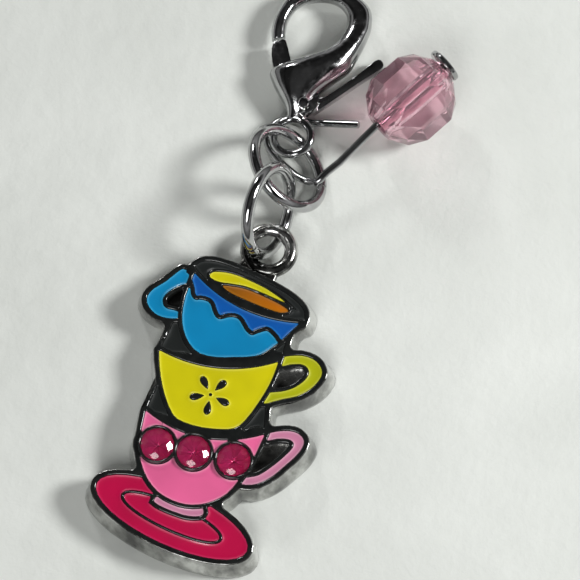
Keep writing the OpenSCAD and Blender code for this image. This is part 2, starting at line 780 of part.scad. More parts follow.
module stone_seat() {
    translate([0, 0, girdle_z - stone_gap]) cylinder(h = over, r = stone_d / 2 + stone_gap, $fn = 24);
    translate([0, 0, girdle_z - stone_gap - 0.76 * stone_d / 2])
        cylinder(h = 0.76 * stone_d / 2 + hair, r1 = 0.1, r2 = stone_d / 2 + stone_gap, $fn = 24);
}

// The casting is one mesh, whose height is that of the settings
module pendant_plate() {
    color(metal) in_charm() resize([0, 0, plate_t + setting_rise]) difference() {
        union() {
            skirt();
            middle_layer();
            line_layer();
            pendant_loop();
            at_stones() translate([0, 0, plate_t - lap])
                cylinder(h = setting_rise + lap, r = setting_r, $fn = 24);
        }
        at_stones() stone_seat();
    }
}

module blue_cup_enamel() {
    color(light_blue) enamel() blue_cup_2d();
}

module blue_band_enamel() {
    color(dark_blue) enamel() blue_band_2d();
}

module blue_handle_enamel() {
    color(light_blue) enamel() blue_handle_patch_2d();
}

module rim_enamel() {
    color(yellow) enamel() rim_patch_2d();
}

module tea_enamel() {
    color(tea_brown) enamel() tea_patch_2d();
}

module dark_top_enamel() {
    color(ground_black) enamel() dark_top_2d();
}

module yellow_cup_enamel() {
    color(yellow) enamel() yellow_cup_2d();
}

module yellow_handle_enamel() {
    color(olive_yellow) enamel() yellow_handle_patch_2d();
}

module dark_middle(side) {
    color(ground_black) enamel() dark_middle_2d(side);
}

module pink_cup_enamel() {
    color(pink) enamel() pink_cup_2d();
}

module pink_peak(k) {
    color(pink) enamel() pink_peak_2d(k);
}

module pink_handle_enamel() {
    color(dusty_pink) enamel() pink_handle_patch_2d();
}

module foot_enamel() {
    color(dusty_pink) enamel() foot_patch_2d();
}

module dark_lower(side) {
    color(ground_black) enamel() dark_lower_2d(side);
}

module saucer_enamel() {
    color(crimson) enamel() saucer_patch_2d();
}

module saucer_oval_enamel() {
    color(crimson) enamel() saucer_oval_patch_2d();
}

// A round brilliant: rings of points from the culet up to the table
// [share of the radius, height in shares of the radius, turn in shares of a facet]
stone_rings = [
    [0.04, -0.72, 0], [0.62, -0.32, 0.5], [1, -0.02, 0], [1, 0.04, 0], [0.80, 0.19, 0.5], [0.55, 0.30, 0]
];

module stone(k) {
    sides = 12;
    points = [for (r = stone_rings, i = [0 : sides - 1]) let (a = 360 * (i + r[2]) / sides)
        [r[0] * cos(a), r[0] * sin(a), r[1]] * stone_d / 2];
    color(stone_red) in_charm() pink_frame()
        translate([stone_places[k] * pink_w, stone_depth * pink_h, girdle_z])
            polyhedron(points, ring_faces(len(stone_rings), sides));
}

// A jump ring with its closing slit at an angle round it
module jump_ring(at, tilt, slit_at) {
    slit = ring_slit / ring_r * 180 / PI;
    lift = ring_wire / 2 + ring_r * sin(tilt[0]) + ring_lift;
    in_charm() translate([at[0], at[1], lift]) rotate([0, 0, tilt[1]]) rotate([0, tilt[0], 0]) rotate(slit_at)
        rotate_extrude(angle = 360 - slit, $fn = arc_sides)
            translate([ring_r, 0]) circle(d = ring_wire, $fn = 24);
}

module lower_jump_ring() {
    color(metal) jump_ring(lower_ring_at, lower_tilt, 262);
}

module upper_jump_ring() {
    color(metal) jump_ring(upper_ring_at, upper_tilt, 330);
}

// The clasp's own frame: the base loop's centre, with the hook along +Y
module in_clasp() {
    in_charm() translate([base_loop_at[0], base_loop_at[1], clasp_z]) children();
}

// Points of one section of the clasp's body
function clasp_ring(row, sides) = let (
    inner = [row[0] * clasp_w, row[1] * clasp_l],
    outer = [row[2] * clasp_w, row[3] * clasp_l],
    mid = (inner + outer) / 2,
    half = (outer - inner) / 2,
    thick = row[4] * clasp_t / 2
) [
    for (k = [0 : sides - 1])
        let (a = -360 * (k + 0.5) / sides, c = squarish(cos(a), 0.8), s = squarish(sin(a), 0.9))
        [mid[0] + half[0] * c, mid[1] + half[1] * c, thick * s / squarish(cos(180 / sides), 0.9)]
];

module hook_form() {
    sides = 16;
    rows = smooth_line(clasp_sections, 2);
    points = [for (r = rows) each clasp_ring(r, sides)];
    polyhedron(points, ring_faces(len(rows), sides));
}

module finger_2d() {
    polygon(smooth_loop(sized(trigger_finger, clasp_w, clasp_l)));
}

module arm_2d() {
    polygon(smooth_loop(sized(trigger_arm, clasp_w, clasp_l)));
}

module hub_2d() {
    translate([pivot_at[0] * clasp_w, pivot_at[1] * clasp_l]) circle(r = hub_r, $fn = 32);
}

// The thumb arm outside the body, where it drops to its lower level
module low_arm_2d() {
    intersection() {
        arm_2d();
        translate([arm_step * clasp_w, -clasp_l]) square([clasp_w, 3 * clasp_l]);
    }
}

// Turns the trigger about its pivot, opening it by an angle
module opened(angle) {
    pivot = [pivot_at[0] * clasp_w, pivot_at[1] * clasp_l];
    translate(pivot) rotate(-angle) translate(-pivot) children();
}

// The space the trigger needs through its whole travel
module trigger_room_2d() {
    for (angle = [0 : trigger_travel / 4 : trigger_travel]) {
        opened(angle) offset(delta = 2 * trigger_gap) {
            finger_2d();
            hub_2d();
            arm_2d();
        }
    }
}

// Levels of the arm, measured from the clasp's middle
arm_top = -0.2;
arm_bottom = arm_top - arm_t;

module clasp_body() {
    color(metal) in_clasp() difference() {
        union() {
            hook_form();
            rotate([0, base_loop_roll, 0]) rotate_extrude($fn = arc_sides)
                translate([base_loop_r - base_loop_wire / 2, 0]) circle(d = base_loop_wire, $fn = 24);
        }
        translate([0, 0, -trigger_t / 2 - trigger_gap])
            linear_extrude(trigger_t + 2 * trigger_gap) trigger_room_2d();
        translate([0, 0, arm_bottom - trigger_gap])
            linear_extrude(arm_t + trigger_gap) offset(delta = 2 * trigger_gap) low_arm_2d();
        translate([pivot_at[0] * clasp_w, pivot_at[1] * clasp_l, -clasp_t])
            cylinder(h = 2 * clasp_t, r = pivot_r + hair, $fn = 32);
    }
}

// Length of the pivot pin, a little more than the body's thickness there
pivot_l = 0.6 * clasp_t;

module clasp_pivot_pin() {
    color(metal) in_clasp() translate([pivot_at[0] * clasp_w, pivot_at[1] * clasp_l, -pivot_l / 2])
        cylinder(h = pivot_l, r = pivot_r, $fn = 32);
}

module clasp_trigger() {
    color(metal) in_clasp() difference() {
        union() {
            translate([0, 0, -trigger_t / 2]) linear_extrude(trigger_t) difference() {
                union() {
                    finger_2d();
                    hub_2d();
                    arm_2d();
                }
                offset(delta = hair) low_arm_2d();
            }
            translate([0, 0, arm_bottom]) linear_extrude(arm_t) intersection() {
                arm_2d();
                translate([(arm_step - 0.03) * clasp_w, -clasp_l]) square([clasp_w, 3 * clasp_l]);
            }
        }
        translate([pivot_at[0] * clasp_w, pivot_at[1] * clasp_l, -clasp_t])
            cylinder(h = 2 * clasp_t, r = pivot_r + trigger_gap, $fn = 32);
    }
}

// The head pin: a list of [point, radius], from the head through the bead to the cut end
pin_axis = bead_centre + bead_slack * [-0.56, 0.56, 0.6];
function on_axis(d) = pin_axis + d * pin_way;
pin_loop = smooth_line([for (r = pin_route) [r[0] * base_loop_r, r[1] * base_loop_r, r[2] * clasp_z]], 2);
bead_end = bead_d / 2 * sin(68);
pin_rows = concat(
    [
        [on_axis(bead_end + 0.1 + pin_head_t), pin_head_d / 2 - 0.1],
        [on_axis(bead_end + 0.1 + 0.7 * pin_head_t), pin_head_d / 2],
        [on_axis(bead_end + 0.1 + 0.3 * pin_head_t), pin_head_d / 2],
        [on_axis(bead_end + 0.1), pin_head_d / 2 - 0.08],
        [on_axis(bead_end + 0.06), pin_wire / 2],
        [on_axis(0), pin_wire / 2],
        [on_axis(-bead_end), pin_wire / 2]
    ],
    [for (p = pin_loop) [p, pin_wire / 2]]
);

// Direction of the wire at row i, and two directions square to it
function row_way(rows, i) = let (d = rows[min(i + 1, len(rows) - 1)][0] - rows[max(i - 1, 0)][0]) d / norm(d);
function square_to(way) = let (s = cross(way, [-pin_way[1], pin_way[0], 0.2])) s / norm(s);

module head_pin() {
    sides = 8;
    points = [for (i = [0 : len(pin_rows) - 1])
        let (way = row_way(pin_rows, i), u = square_to(way), v = cross(way, u))
            for (k = [0 : sides - 1]) let (a = 360 * k / sides)
                pin_rows[i][0] + pin_rows[i][1] * (cos(a) * u + sin(a) * v)];
    color(metal) in_charm() translate([base_loop_at[0], base_loop_at[1], 0])
        polyhedron(points, ring_faces(len(pin_rows), sides));
}

// The bead's rings of facet corners: [angle from its equator, turn in shares of a facet]
bead_rings = [[-68, 0], [-40, 0.5], [0, 0], [40, 0.5], [68, 0]];

module bead() {
    sides = 10;
    points = [for (r = bead_rings, i = [0 : sides - 1]) let (a = 360 * (i + r[1]) / sides)
        [cos(r[0]) * cos(a), cos(r[0]) * sin(a), sin(r[0])] * bead_d / 2];
    color(bead_pink) in_charm() translate([base_loop_at[0], base_loop_at[1], 0]) translate(bead_centre)
        rotate([0, 0, pin_turn]) rotate([0, 90 - pin_rise, 0]) difference() {
            polyhedron(points, ring_faces(len(bead_rings), sides));
            translate([0, 0, -bead_d]) cylinder(h = 2 * bead_d, d = bead_hole_d, $fn = 32);
        }
}

pendant_plate();
blue_cup_enamel();
blue_band_enamel();
blue_handle_enamel();
rim_enamel();
tea_enamel();
dark_top_enamel();
yellow_cup_enamel();
yellow_handle_enamel();
dark_middle(-1);  // dark_middle_left
dark_middle(1);  // dark_middle_right
pink_cup_enamel();
pink_peak(0);  // pink_peak_1
pink_peak(1);  // pink_peak_2
pink_peak(2);  // pink_peak_3
pink_peak(3);  // pink_peak_4
pink_handle_enamel();
foot_enamel();
dark_lower(-1);  // dark_lower_left
dark_lower(1);  // dark_lower_right
saucer_enamel();
saucer_oval_enamel();
stone(0);  // stone_left
stone(1);  // stone_middle
stone(2);  // stone_right
lower_jump_ring();
upper_jump_ring();
clasp_body();
clasp_pivot_pin();
clasp_trigger();
head_pin();
bead();
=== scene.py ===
"""Looks of the dangle charm: bright plated castings, soft enamel, cut stones and a clear pink bead."""

import json
import math

import bmesh
import bpy
import numpy as np
from mathutils import Euler, Matrix, Vector
from mathutils.geometry import delaunay_2d_cdt


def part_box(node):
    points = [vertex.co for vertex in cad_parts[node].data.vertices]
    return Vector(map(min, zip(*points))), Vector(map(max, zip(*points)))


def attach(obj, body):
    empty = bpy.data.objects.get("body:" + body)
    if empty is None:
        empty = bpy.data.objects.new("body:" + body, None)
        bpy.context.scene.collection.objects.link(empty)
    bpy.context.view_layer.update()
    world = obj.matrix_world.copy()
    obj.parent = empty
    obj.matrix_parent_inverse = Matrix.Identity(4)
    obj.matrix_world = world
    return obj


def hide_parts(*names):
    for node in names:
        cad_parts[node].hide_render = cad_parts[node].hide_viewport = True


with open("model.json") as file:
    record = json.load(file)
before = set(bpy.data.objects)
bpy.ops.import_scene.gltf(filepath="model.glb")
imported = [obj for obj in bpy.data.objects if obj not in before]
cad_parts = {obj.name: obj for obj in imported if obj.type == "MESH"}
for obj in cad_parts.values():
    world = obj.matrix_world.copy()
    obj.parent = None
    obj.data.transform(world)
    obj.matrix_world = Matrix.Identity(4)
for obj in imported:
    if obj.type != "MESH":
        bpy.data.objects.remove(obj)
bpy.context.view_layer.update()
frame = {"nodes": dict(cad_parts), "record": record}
nodes = frame["nodes"]

MM = 0.001

# Heights of the plate's levels, in millimetres
LINE_TOP = 2.2
RECESS_FLOOR = 1.75
WELL_FLOOR = 1.3
ENAMEL_TOP = 2.13
SETTING_TOP = 2.38
LEVEL_REACH = 0.004

# Softness of the cast lines, shortest step of a rounded outline, and the drafted sides of the plate
LINE_ROUND = 0.09
OUTLINE_STEP = 0.05
PLATE_MIDDLE = np.array([-2.83, -10.985])
PLATE_SIZE = np.array([13.6, 23.2])
SIDE_DRAFT = 0.4

# The pendant's loop and the neck under it
LOOP_AT = Vector((-0.80, 1.275, 1.45))
LOOP_MID_R = 1.43
LOOP_W = 0.92
LOOP_H = 0.84
CUP_TILT = -16.0
NECK_TOP = Vector((1.32, -1.7))
NECK_FOOT = Vector((1.55, -2.45))
NECK_LOW = -0.36
NECK_HIGH = 0.26
NECK_ROUND = 0.16

# Enamel: how low its middle lies, how wide it climbs at its border and how wide its painted sheen there
# reaches, its waves and its lowest face, and the rows of points along its border with the grid between them
ENAMEL_SINK = 0.055
ENAMEL_CLIMB = 0.11
ENAMEL_SHEEN_REACH = 0.07
ENAMEL_WAVE = 0.004
ENAMEL_BOTTOM = RECESS_FLOOR + 0.005
ENAMEL_ROWS = [0.035, 0.09, 0.17]
ENAMEL_GRID = 0.24

# Stones: their settings, the girdle, and how far under it the foil starts
STONE_D = 2.1
SETTING_R = 1.22
SETTING_SIDES = 64
SEAT_R = 1.07
SEAT_DEPTH = 0.76
GIRDLE_Z = 2.18
FOIL_DROP = 0.06

# Jump rings: their sizes, how far the wire narrows at its ends and lies over the sheet, and for each one
# the middle of the ring, tilt from flat, turn of the tilt and place of the slit, in degrees
RING_R = 2.83
RING_WIRE = 0.8
RING_SLIT = 0.06
RING_STEPS = 150
RING_END = 0.94
RING_LIFT = 0.03
RINGS = {
    "lower_jump_ring": {"at": (-1.216, 3.366), "tilt": 69.5, "turn": -9.9, "slit": 262.0},
    "upper_jump_ring": {"at": (-0.643, 6.754), "tilt": 42.9, "turn": 29.4, "slit": 330.0},
}

# Head pin and bead, from the middle of the clasp's base loop. The pin's route and the bead's place are in
# shares of the base loop's radius, and the route's heights in shares of the clasp's middle height
BASE_LOOP_AT = Vector((-0.850, 9.329, 0.0))
BASE_LOOP_R = 1.52
CLASP_MID_Z = 1.33
PIN_WIRE = 0.5
PIN_HEAD_D = 2.4
PIN_HEAD_T = 0.4
PIN_HEAD_GAP = 0.1
PIN_ROUTE = [
    (2.25, -0.98, 1.62), (1.78, -1.52, 1.50), (1.49, -1.90, 1.34), (1.12, -1.93, 1.14), (0.62, -1.76, 0.92),
    (0.04, -1.36, 0.68), (-0.52, -0.90, 0.45), (-0.96, -0.40, 0.28), (-1.11, 0.10, 0.24), (-0.99, 0.55, 0.24),
    (-0.67, 0.90, 0.24), (-0.20, 1.07, 0.25), (0.28, 1.05, 0.28), (0.70, 0.98, 0.42), (1.10, 0.97, 0.66),
    (2.72, 1.02, 1.22),
]
BEAD_D = 6.0
BEAD_HOLE_D = 1.2
BEAD_AT = (4.76, 2.23)
# How far and which way the stem lies off the bead's middle
BEAD_SLACK = 0.24
BEAD_HANG = Vector((-0.56, 0.56, 0.6))
# The finished bead's share of the solid's size, its facets, and the latitude of its ends in degrees
BEAD_FIT = 0.995
BEAD_FACETS = 10
BEAD_END = 68
HOLE_SIDES = 40

# Clasp: length, width and thickness, with its sections and outlines as shares of the first two
CLASP_L = 10.9
CLASP_W = 6.5
CLASP_T = 2.66
BASE_LOOP_WIRE = 0.56
BASE_LOOP_ROLL = -7.3
TRIGGER_T = 0.8
TRIGGER_GAP = 0.05
TRIGGER_TRAVEL = 12.0
HUB_R = 0.62
PIVOT_R = 0.3
PIVOT_AT = np.array([0.054 * CLASP_W, 0.202 * CLASP_L])
ARM_STEP = 0.19
ARM_BOTTOM = -0.8
# Room cut for the lever and its pin, edges that count as hard and how far they are softened, and the skin
ROOM_SIDE = 2.4 * TRIGGER_GAP
ROOM_FACE = 1.4 * TRIGGER_GAP
BORE_SLACK = 0.015
HARD_EDGE = 35.0
LEVER_EDGE = 0.14
RIVET_EDGE = 0.06
CLASP_VOXEL = 0.065
CLASP_POLISH = 3
# [inner x, inner y, outer x, outer y, thickness]
CLASP_SECTIONS = [
    (-0.085, 0.105, 0.095, 0.105, 0.28), (-0.105, 0.15, 0.11, 0.15, 0.44), (-0.15, 0.195, 0.118, 0.195, 0.62),
    (-0.225, 0.25, 0.13, 0.255, 0.80), (-0.31, 0.32, 0.225, 0.335, 0.94), (-0.355, 0.388, 0.345, 0.415, 1.0),
    (-0.25, 0.445, 0.44, 0.48, 0.97), (-0.09, 0.495, 0.485, 0.55, 0.90), (0.085, 0.55, 0.525, 0.63, 0.80),
    (0.23, 0.635, 0.555, 0.705, 0.70), (0.31, 0.75, 0.572, 0.79, 0.62), (0.30, 0.835, 0.53, 0.90, 0.58),
    (0.215, 0.89, 0.37, 0.972, 0.54), (0.09, 0.91, 0.135, 1.0, 0.5), (-0.075, 0.89, -0.135, 0.978, 0.49),
    (-0.21, 0.835, -0.32, 0.905, 0.47), (-0.275, 0.745, -0.41, 0.78, 0.44), (-0.28, 0.67, -0.43, 0.67, 0.42),
    (-0.27, 0.622, -0.402, 0.588, 0.36),
]
TRIGGER_FINGER = [
    (0.10, 0.235), (0, 0.30), (-0.12, 0.415), (-0.18, 0.49), (-0.262, 0.598), (-0.325, 0.588),
    (-0.382, 0.562), (-0.372, 0.485), (-0.31, 0.39), (-0.17, 0.27), (-0.05, 0.17),
]
TRIGGER_ARM = [
    (0.02, 0.15), (0.13, 0.165), (0.33, 0.285), (0.50, 0.395), (0.625, 0.472), (0.735, 0.535), (0.765, 0.572),
    (0.725, 0.602), (0.665, 0.588), (0.54, 0.492), (0.385, 0.388), (0.24, 0.30), (0.10, 0.255),
]

# Camera, at the photograph's angle
CAMERA_TARGET = Vector((0.947, -0.657, 0.0)) * MM
CAMERA_AZIMUTH = 11.0
CAMERA_ELEVATION = 72.0
CAMERA_DISTANCE = 0.170
CAMERA_LENS = 162.5

# Surroundings: the sheet, the lamps as (place, width, power), and the sky's grey by height of its direction
SHEET_HALF = 0.25
LAMPS = {
    "window": ((0.17, 0.04, 0.15), 0.06, 0.50),
    "ceiling": ((-0.02, -0.16, 0.20), 0.12, 0.26),
    "far_lamp": ((-0.10, 0.16, 0.12), 0.04, 0.10),
}
SKY = [(0.0, 0.10), (0.25, 0.55), (0.42, 0.80), (0.55, 0.10), (0.72, 0.02), (0.90, 0.06), (1.0, 0.15)]
SKY_STRENGTH = 0.44


# Small helpers for outlines, in millimetres

def cap_loops(node, z):
    """Boundary loops of a node's flat face at height z, each traced with the metal on its left."""
    mesh = nodes[node].data
    mesh.calc_loop_triangles()
    co = np.array([v.co for v in mesh.vertices]) / MM
    keys = {}
    ids = np.array([keys.setdefault((round(p[0], 3), round(p[1], 3), round(p[2], 3)), len(keys)) for p in co])
    points = np.array(list(keys))
    edges = {}
    for triangle in mesh.loop_triangles:
        a, b, c = ids[list(triangle.vertices)]
        if len({a, b, c}) < 3 or np.abs(points[[a, b, c], 2] - z).max() > LEVEL_REACH:
            continue
        if triangle.normal.z < 0:
            a, c = c, a
        edges.update(dict.fromkeys(((a, b), (b, c), (c, a))))
    after = {}
    for a, b in edges:
        if (b, a) not in edges:
            after.setdefault(a, []).append(b)
    loops = []
    while after:
        start = next(iter(after))
        loop = [start]
        while True:
            here = loop[-1]
            if here not in after:
                break
            step = after[here].pop()
            if not after[here]:
                del after[here]
            if step == start:
                break
            loop.append(step)
        if len(loop) > 2:
            loops.append(points[loop, :2])
    return loops


def smooth_outline(points, steps=3, corner=50.0):
    """Rounds a closed outline between its corners, and leaves corners sharper than an angle as they are."""
    n = len(points)
    ahead = np.roll(points, -1, 0) - points
    behind = points - np.roll(points, 1, 0)
    turn = np.degrees(np.abs(np.arctan2(behind[:, 0] * ahead[:, 1] - behind[:, 1] * ahead[:, 0],
                                        (behind * ahead).sum(1))))
    out = []
    for i in range(n):
        b, c = points[i], points[(i + 1) % n]
        a = b if turn[i] > corner else points[i - 1]
        d = c if turn[(i + 1) % n] > corner else points[(i + 2) % n]
        count = max(1, min(steps, int(np.linalg.norm(c - b) / OUTLINE_STEP)))
        tangent_b = (c - a) * np.linalg.norm(c - b) / max(np.linalg.norm(c - a), 1e-6)
        tangent_c = (d - b) * np.linalg.norm(c - b) / max(np.linalg.norm(d - b), 1e-6)
        for k in range(count):
            t = k / count
            out.append((2 * t**3 - 3 * t**2 + 1) * b + (t**3 - 2 * t**2 + t) * tangent_b
                       + (-2 * t**3 + 3 * t**2) * c + (t**3 - t**2) * tangent_c)
    return np.array(out)


def inward(points):
    """Unit directions to the left of a closed outline, at each of its points."""
    ahead = np.roll(points, -1, 0) - points
    ahead /= np.maximum(np.linalg.norm(ahead, axis=1), 1e-9)[:, None]
    mean = ahead + np.roll(ahead, 1, 0)
    mean /= np.maximum(np.linalg.norm(mean, axis=1), 1e-9)[:, None]
    return np.stack([-mean[:, 1], mean[:, 0]], 1)


def edge_distance(points, loops):
    """Distance of each point from the nearest outline."""
    best = np.full(len(points), 1e9)
    for loop in loops:
        a, b = loop, np.roll(loop, -1, 0)
        ab = b - a
        length2 = np.maximum((ab**2).sum(1), 1e-12)
        for s in range(0, len(points), 2000):
            p = points[s:s + 2000, None, :]
            t = np.clip(((p - a) * ab).sum(2) / length2, 0, 1)
            gap = p - (a + t[:, :, None] * ab)
            best[s:s + 2000] = np.minimum(best[s:s + 2000], np.sqrt((gap**2).sum(2)).min(1))
    return best


def inside(points, loops):
    """Whether each point lies inside an odd number of the outlines."""
    crossings = np.zeros(len(points), int)
    for loop in loops:
        a, b = loop, np.roll(loop, -1, 0)
        for s in range(0, len(points), 4000):
            p = points[s:s + 4000]
            above = (a[:, 1] > p[:, 1:2]) != (b[:, 1] > p[:, 1:2])
            rise = np.where(b[:, 1] == a[:, 1], 1e-9, b[:, 1] - a[:, 1])
            x = a[:, 0] + (p[:, 1:2] - a[:, 1]) / rise * (b[:, 0] - a[:, 0])
            crossings[s:s + 4000] += (above & (p[:, 0:1] < x)).sum(1)
    return crossings % 2 == 1


def filled(loops, ring_offsets, spacing=None):
    """Triangles inside the outlines, with extra rows of points along them and a grid of points between."""
    edges, border, extra, first = [], [], [], 0
    for loop in loops:
        n = len(loop)
        border.append(loop)
        edges += [(first + i, first + (i + 1) % n) for i in range(n)]
        first += n
        for offset in ring_offsets:
            row = loop + inward(loop) * offset
            keep = edge_distance(row, loops) > 0.93 * offset
            extra.append(row[keep & inside(row, loops)])
    if spacing:
        every = np.concatenate(loops)
        lo, hi = every.min(0), every.max(0)
        gx, gy = np.meshgrid(np.arange(lo[0], hi[0], spacing), np.arange(lo[1], hi[1], spacing))
        gx[1::2] += spacing / 2
        grid = np.stack([gx.ravel(), gy.ravel()], 1)
        grid = grid[inside(grid, loops)]
        clear = ring_offsets[-1] + 0.4 * spacing if ring_offsets else 0.4 * spacing
        extra.append(grid[edge_distance(grid, loops) > clear])
    points = np.concatenate(border + extra)
    result = delaunay_2d_cdt([Vector(p) for p in points], edges, [], 0, 1e-7)
    flat = np.array([tuple(v) for v in result[0]])
    faces = np.array([f for f in result[2] if len(f) == 3])
    mids = flat[faces].mean(1)
    faces = faces[inside(mids, loops)]
    corners = flat[faces]
    area = ((corners[:, 1, 0] - corners[:, 0, 0]) * (corners[:, 2, 1] - corners[:, 0, 1])
            - (corners[:, 1, 1] - corners[:, 0, 1]) * (corners[:, 2, 0] - corners[:, 0, 0]))
    faces[area < 0] = faces[area < 0][:, ::-1]
    return flat, faces[np.abs(area) > 1e-9]


class Shape:
    """Gathers points and faces of one piece, in millimetres, with a number painted on each point."""

    def __init__(self):
        self.points, self.faces, self.paint = [], [], []

    def add(self, points, faces, paint=0.0):
        first = len(self.points)
        self.points += [tuple(p) for p in points]
        values = paint if np.ndim(paint) else [paint] * len(points)
        self.paint += [float(v) for v in values]
        self.faces += [tuple(int(first + i) for i in f) for f in faces]

    def cap(self, flat, faces, heights, paint=0.0, down=False):
        points = np.column_stack([flat, np.broadcast_to(heights, len(flat))])
        self.add(points, faces[:, ::-1] if down else faces, paint)

    def rings(self, rows, paints=None, closed=False, ends=False):
        """Skins rows of points that have the same count, and can close it lengthwise or cap its ends."""
        n, count = len(rows[0]), len(rows)
        faces = []
        for i in range(count if closed else count - 1):
            j = (i + 1) % count
            faces += [(i * n + k, i * n + (k + 1) % n, j * n + (k + 1) % n, j * n + k) for k in range(n)]
        if ends:
            faces += [tuple(range(n))[::-1], tuple(range((count - 1) * n, count * n))]
        paint = np.repeat(paints, n) if paints is not None else 0.0
        self.add(np.concatenate([np.asarray(r) for r in rows]), faces, paint)

    def object(self, name, sharp, material):
        mesh = bpy.data.meshes.new(name)
        mesh.from_pydata([(x * MM, y * MM, z * MM) for x, y, z in self.points], [], self.faces)
        attribute = mesh.attributes.new("paint", "FLOAT", "POINT")
        attribute.data.foreach_set("value", self.paint)
        return finished(name, mesh, 0.0004, sharp, material)


def finished(name, mesh, merge, sharp, material):
    """Merges points closer than a length, turns faces outwards and shades smoothly up to an angle."""
    form = bmesh.new()
    form.from_mesh(mesh)
    bmesh.ops.remove_doubles(form, verts=form.verts, dist=merge * MM)
    bmesh.ops.dissolve_degenerate(form, edges=form.edges, dist=1e-8)
    bmesh.ops.recalc_face_normals(form, faces=form.faces)
    for face in form.faces:
        face.smooth = sharp > 0
    for edge in form.edges:
        edge.smooth = not (len(edge.link_faces) == 2 and edge.calc_face_angle() > math.radians(sharp))
    form.to_mesh(mesh)
    form.free()
    mesh.update()
    obj = bpy.data.objects.new(name, mesh)
    bpy.context.scene.collection.objects.link(obj)
    obj.data.materials.append(material)
    return obj


def place(obj, slot, node, body="root"):
    """Says what a piece rides on and which node it stands for; the slot is not used."""
    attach(obj, body)
    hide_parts(node)


# Materials

def new_material(name):
    material = bpy.data.materials.new(name)
    material.use_nodes = True
    tree = material.node_tree
    shader = tree.nodes["Principled BSDF"]
    return material, tree, shader


def noise(tree, scale, detail=3.0, rough=0.55, stretch=None):
    """A noise pattern on object coordinates; scale is in features for each metre."""
    coords = tree.nodes.new("ShaderNodeTexCoord").outputs["Object"]
    if stretch:
        mapping = tree.nodes.new("ShaderNodeMapping")
        mapping.inputs["Scale"].default_value = stretch
        tree.links.new(coords, mapping.inputs["Vector"])
        coords = mapping.outputs["Vector"]
    node = tree.nodes.new("ShaderNodeTexNoise")
    node.inputs["Scale"].default_value = scale
    node.inputs["Detail"].default_value = detail
    node.inputs["Roughness"].default_value = rough
    tree.links.new(coords, node.inputs["Vector"])
    return node.outputs["Fac"]


def ramp(tree, source, stops):
    """Maps a value through stops of (position, colour)."""
    node = tree.nodes.new("ShaderNodeValToRGB")
    tree.links.new(source, node.inputs["Fac"])
    elements = node.color_ramp.elements
    while len(elements) < len(stops):
        elements.new(0.5)
    for element, (position, color) in zip(elements, stops):
        element.position = position
        element.color = (*color, 1.0) if np.ndim(color) else (color, color, color, 1.0)
    return node.outputs["Color"]


def mixed(tree, factor, first, second):
    """Blends two colours, each a socket or a plain value."""
    node = tree.nodes.new("ShaderNodeMix")
    node.data_type = "RGBA"
    for socket, value in (("Factor", factor), ("A", first), ("B", second)):
        target = next(s for s in node.inputs if s.name == socket and s.enabled)
        if hasattr(value, "is_linked"):
            tree.links.new(value, target)
        else:
            target.default_value = (*value, 1.0) if np.ndim(value) else value
    return next(s for s in node.outputs if s.enabled)


def bump(tree, shader, height, strength, distance):
    """Gives a shader a relief of a height pattern; distance is in metres."""
    node = tree.nodes.new("ShaderNodeBump")
    node.inputs["Strength"].default_value = strength
    node.inputs["Distance"].default_value = distance
    tree.links.new(height, node.inputs["Height"])
    tree.links.new(node.outputs["Normal"], shader.inputs["Normal"])


def painted(tree):
    """The number painted on each point of a piece."""
    node = tree.nodes.new("ShaderNodeAttribute")
    node.attribute_name = "paint"
    return node.outputs["Fac"]


def bright_plating(name, tone, wave):
    """Polished nickel-coloured plating, with soft dark clouds and fine handling marks."""
    material, tree, shader = new_material(name)
    clouds = noise(tree, 420.0, 4.0)
    dull, bright = (tone * 0.55, tone * 0.56, tone * 0.56), (tone, tone, tone * 1.01)
    tree.links.new(ramp(tree, clouds, [(0.30, dull), (0.62, bright)]), shader.inputs["Base Color"])
    shader.inputs["Metallic"].default_value = 1.0
    tree.links.new(ramp(tree, noise(tree, 2600.0), [(0.35, 0.07), (0.75, 0.20)]), shader.inputs["Roughness"])
    bump(tree, shader, noise(tree, 700.0, 2.0), wave, 0.00003)
    return material


def cast_plating(name):
    """The plate's casting: bright on its sides with painted reflection streaks, and painted dark reflection
    on the polished tops of its lines.
    """
    material, tree, shader = new_material(name)
    # Painted reflection: dark and bright streaks, drawn out upright, painted into the silver of the sides
    painted_reflection_streaks = noise(tree, 420.0, 4.0, 0.6, stretch=(1.0, 1.0, 0.45))
    silver = ramp(tree, painted_reflection_streaks, [(0.40, (0.03, 0.03, 0.028)), (0.50, (0.24, 0.24, 0.225)),
                                  (0.60, (0.60, 0.60, 0.58))])
    # Painted dark reflection: where the paint number is high the metal is drawn near black and less metallic,
    # standing for polished tops that mirror a dark room
    black = ramp(tree, noise(tree, 900.0), [(0.35, (0.007, 0.008, 0.008)), (0.75, (0.018, 0.020, 0.019))])
    tree.links.new(mixed(tree, painted(tree), silver, black), shader.inputs["Base Color"])
    tree.links.new(ramp(tree, painted(tree), [(0.2, 1.0), (0.9, 0.3)]), shader.inputs["Metallic"])
    shader.inputs["Coat Weight"].default_value = 0.8
    shader.inputs["Coat Roughness"].default_value = 0.08
    tree.links.new(ramp(tree, noise(tree, 2200.0), [(0.35, 0.12), (0.75, 0.30)]), shader.inputs["Roughness"])
    bump(tree, shader, noise(tree, 620.0, 3.0), 0.9, 0.00006)
    return material


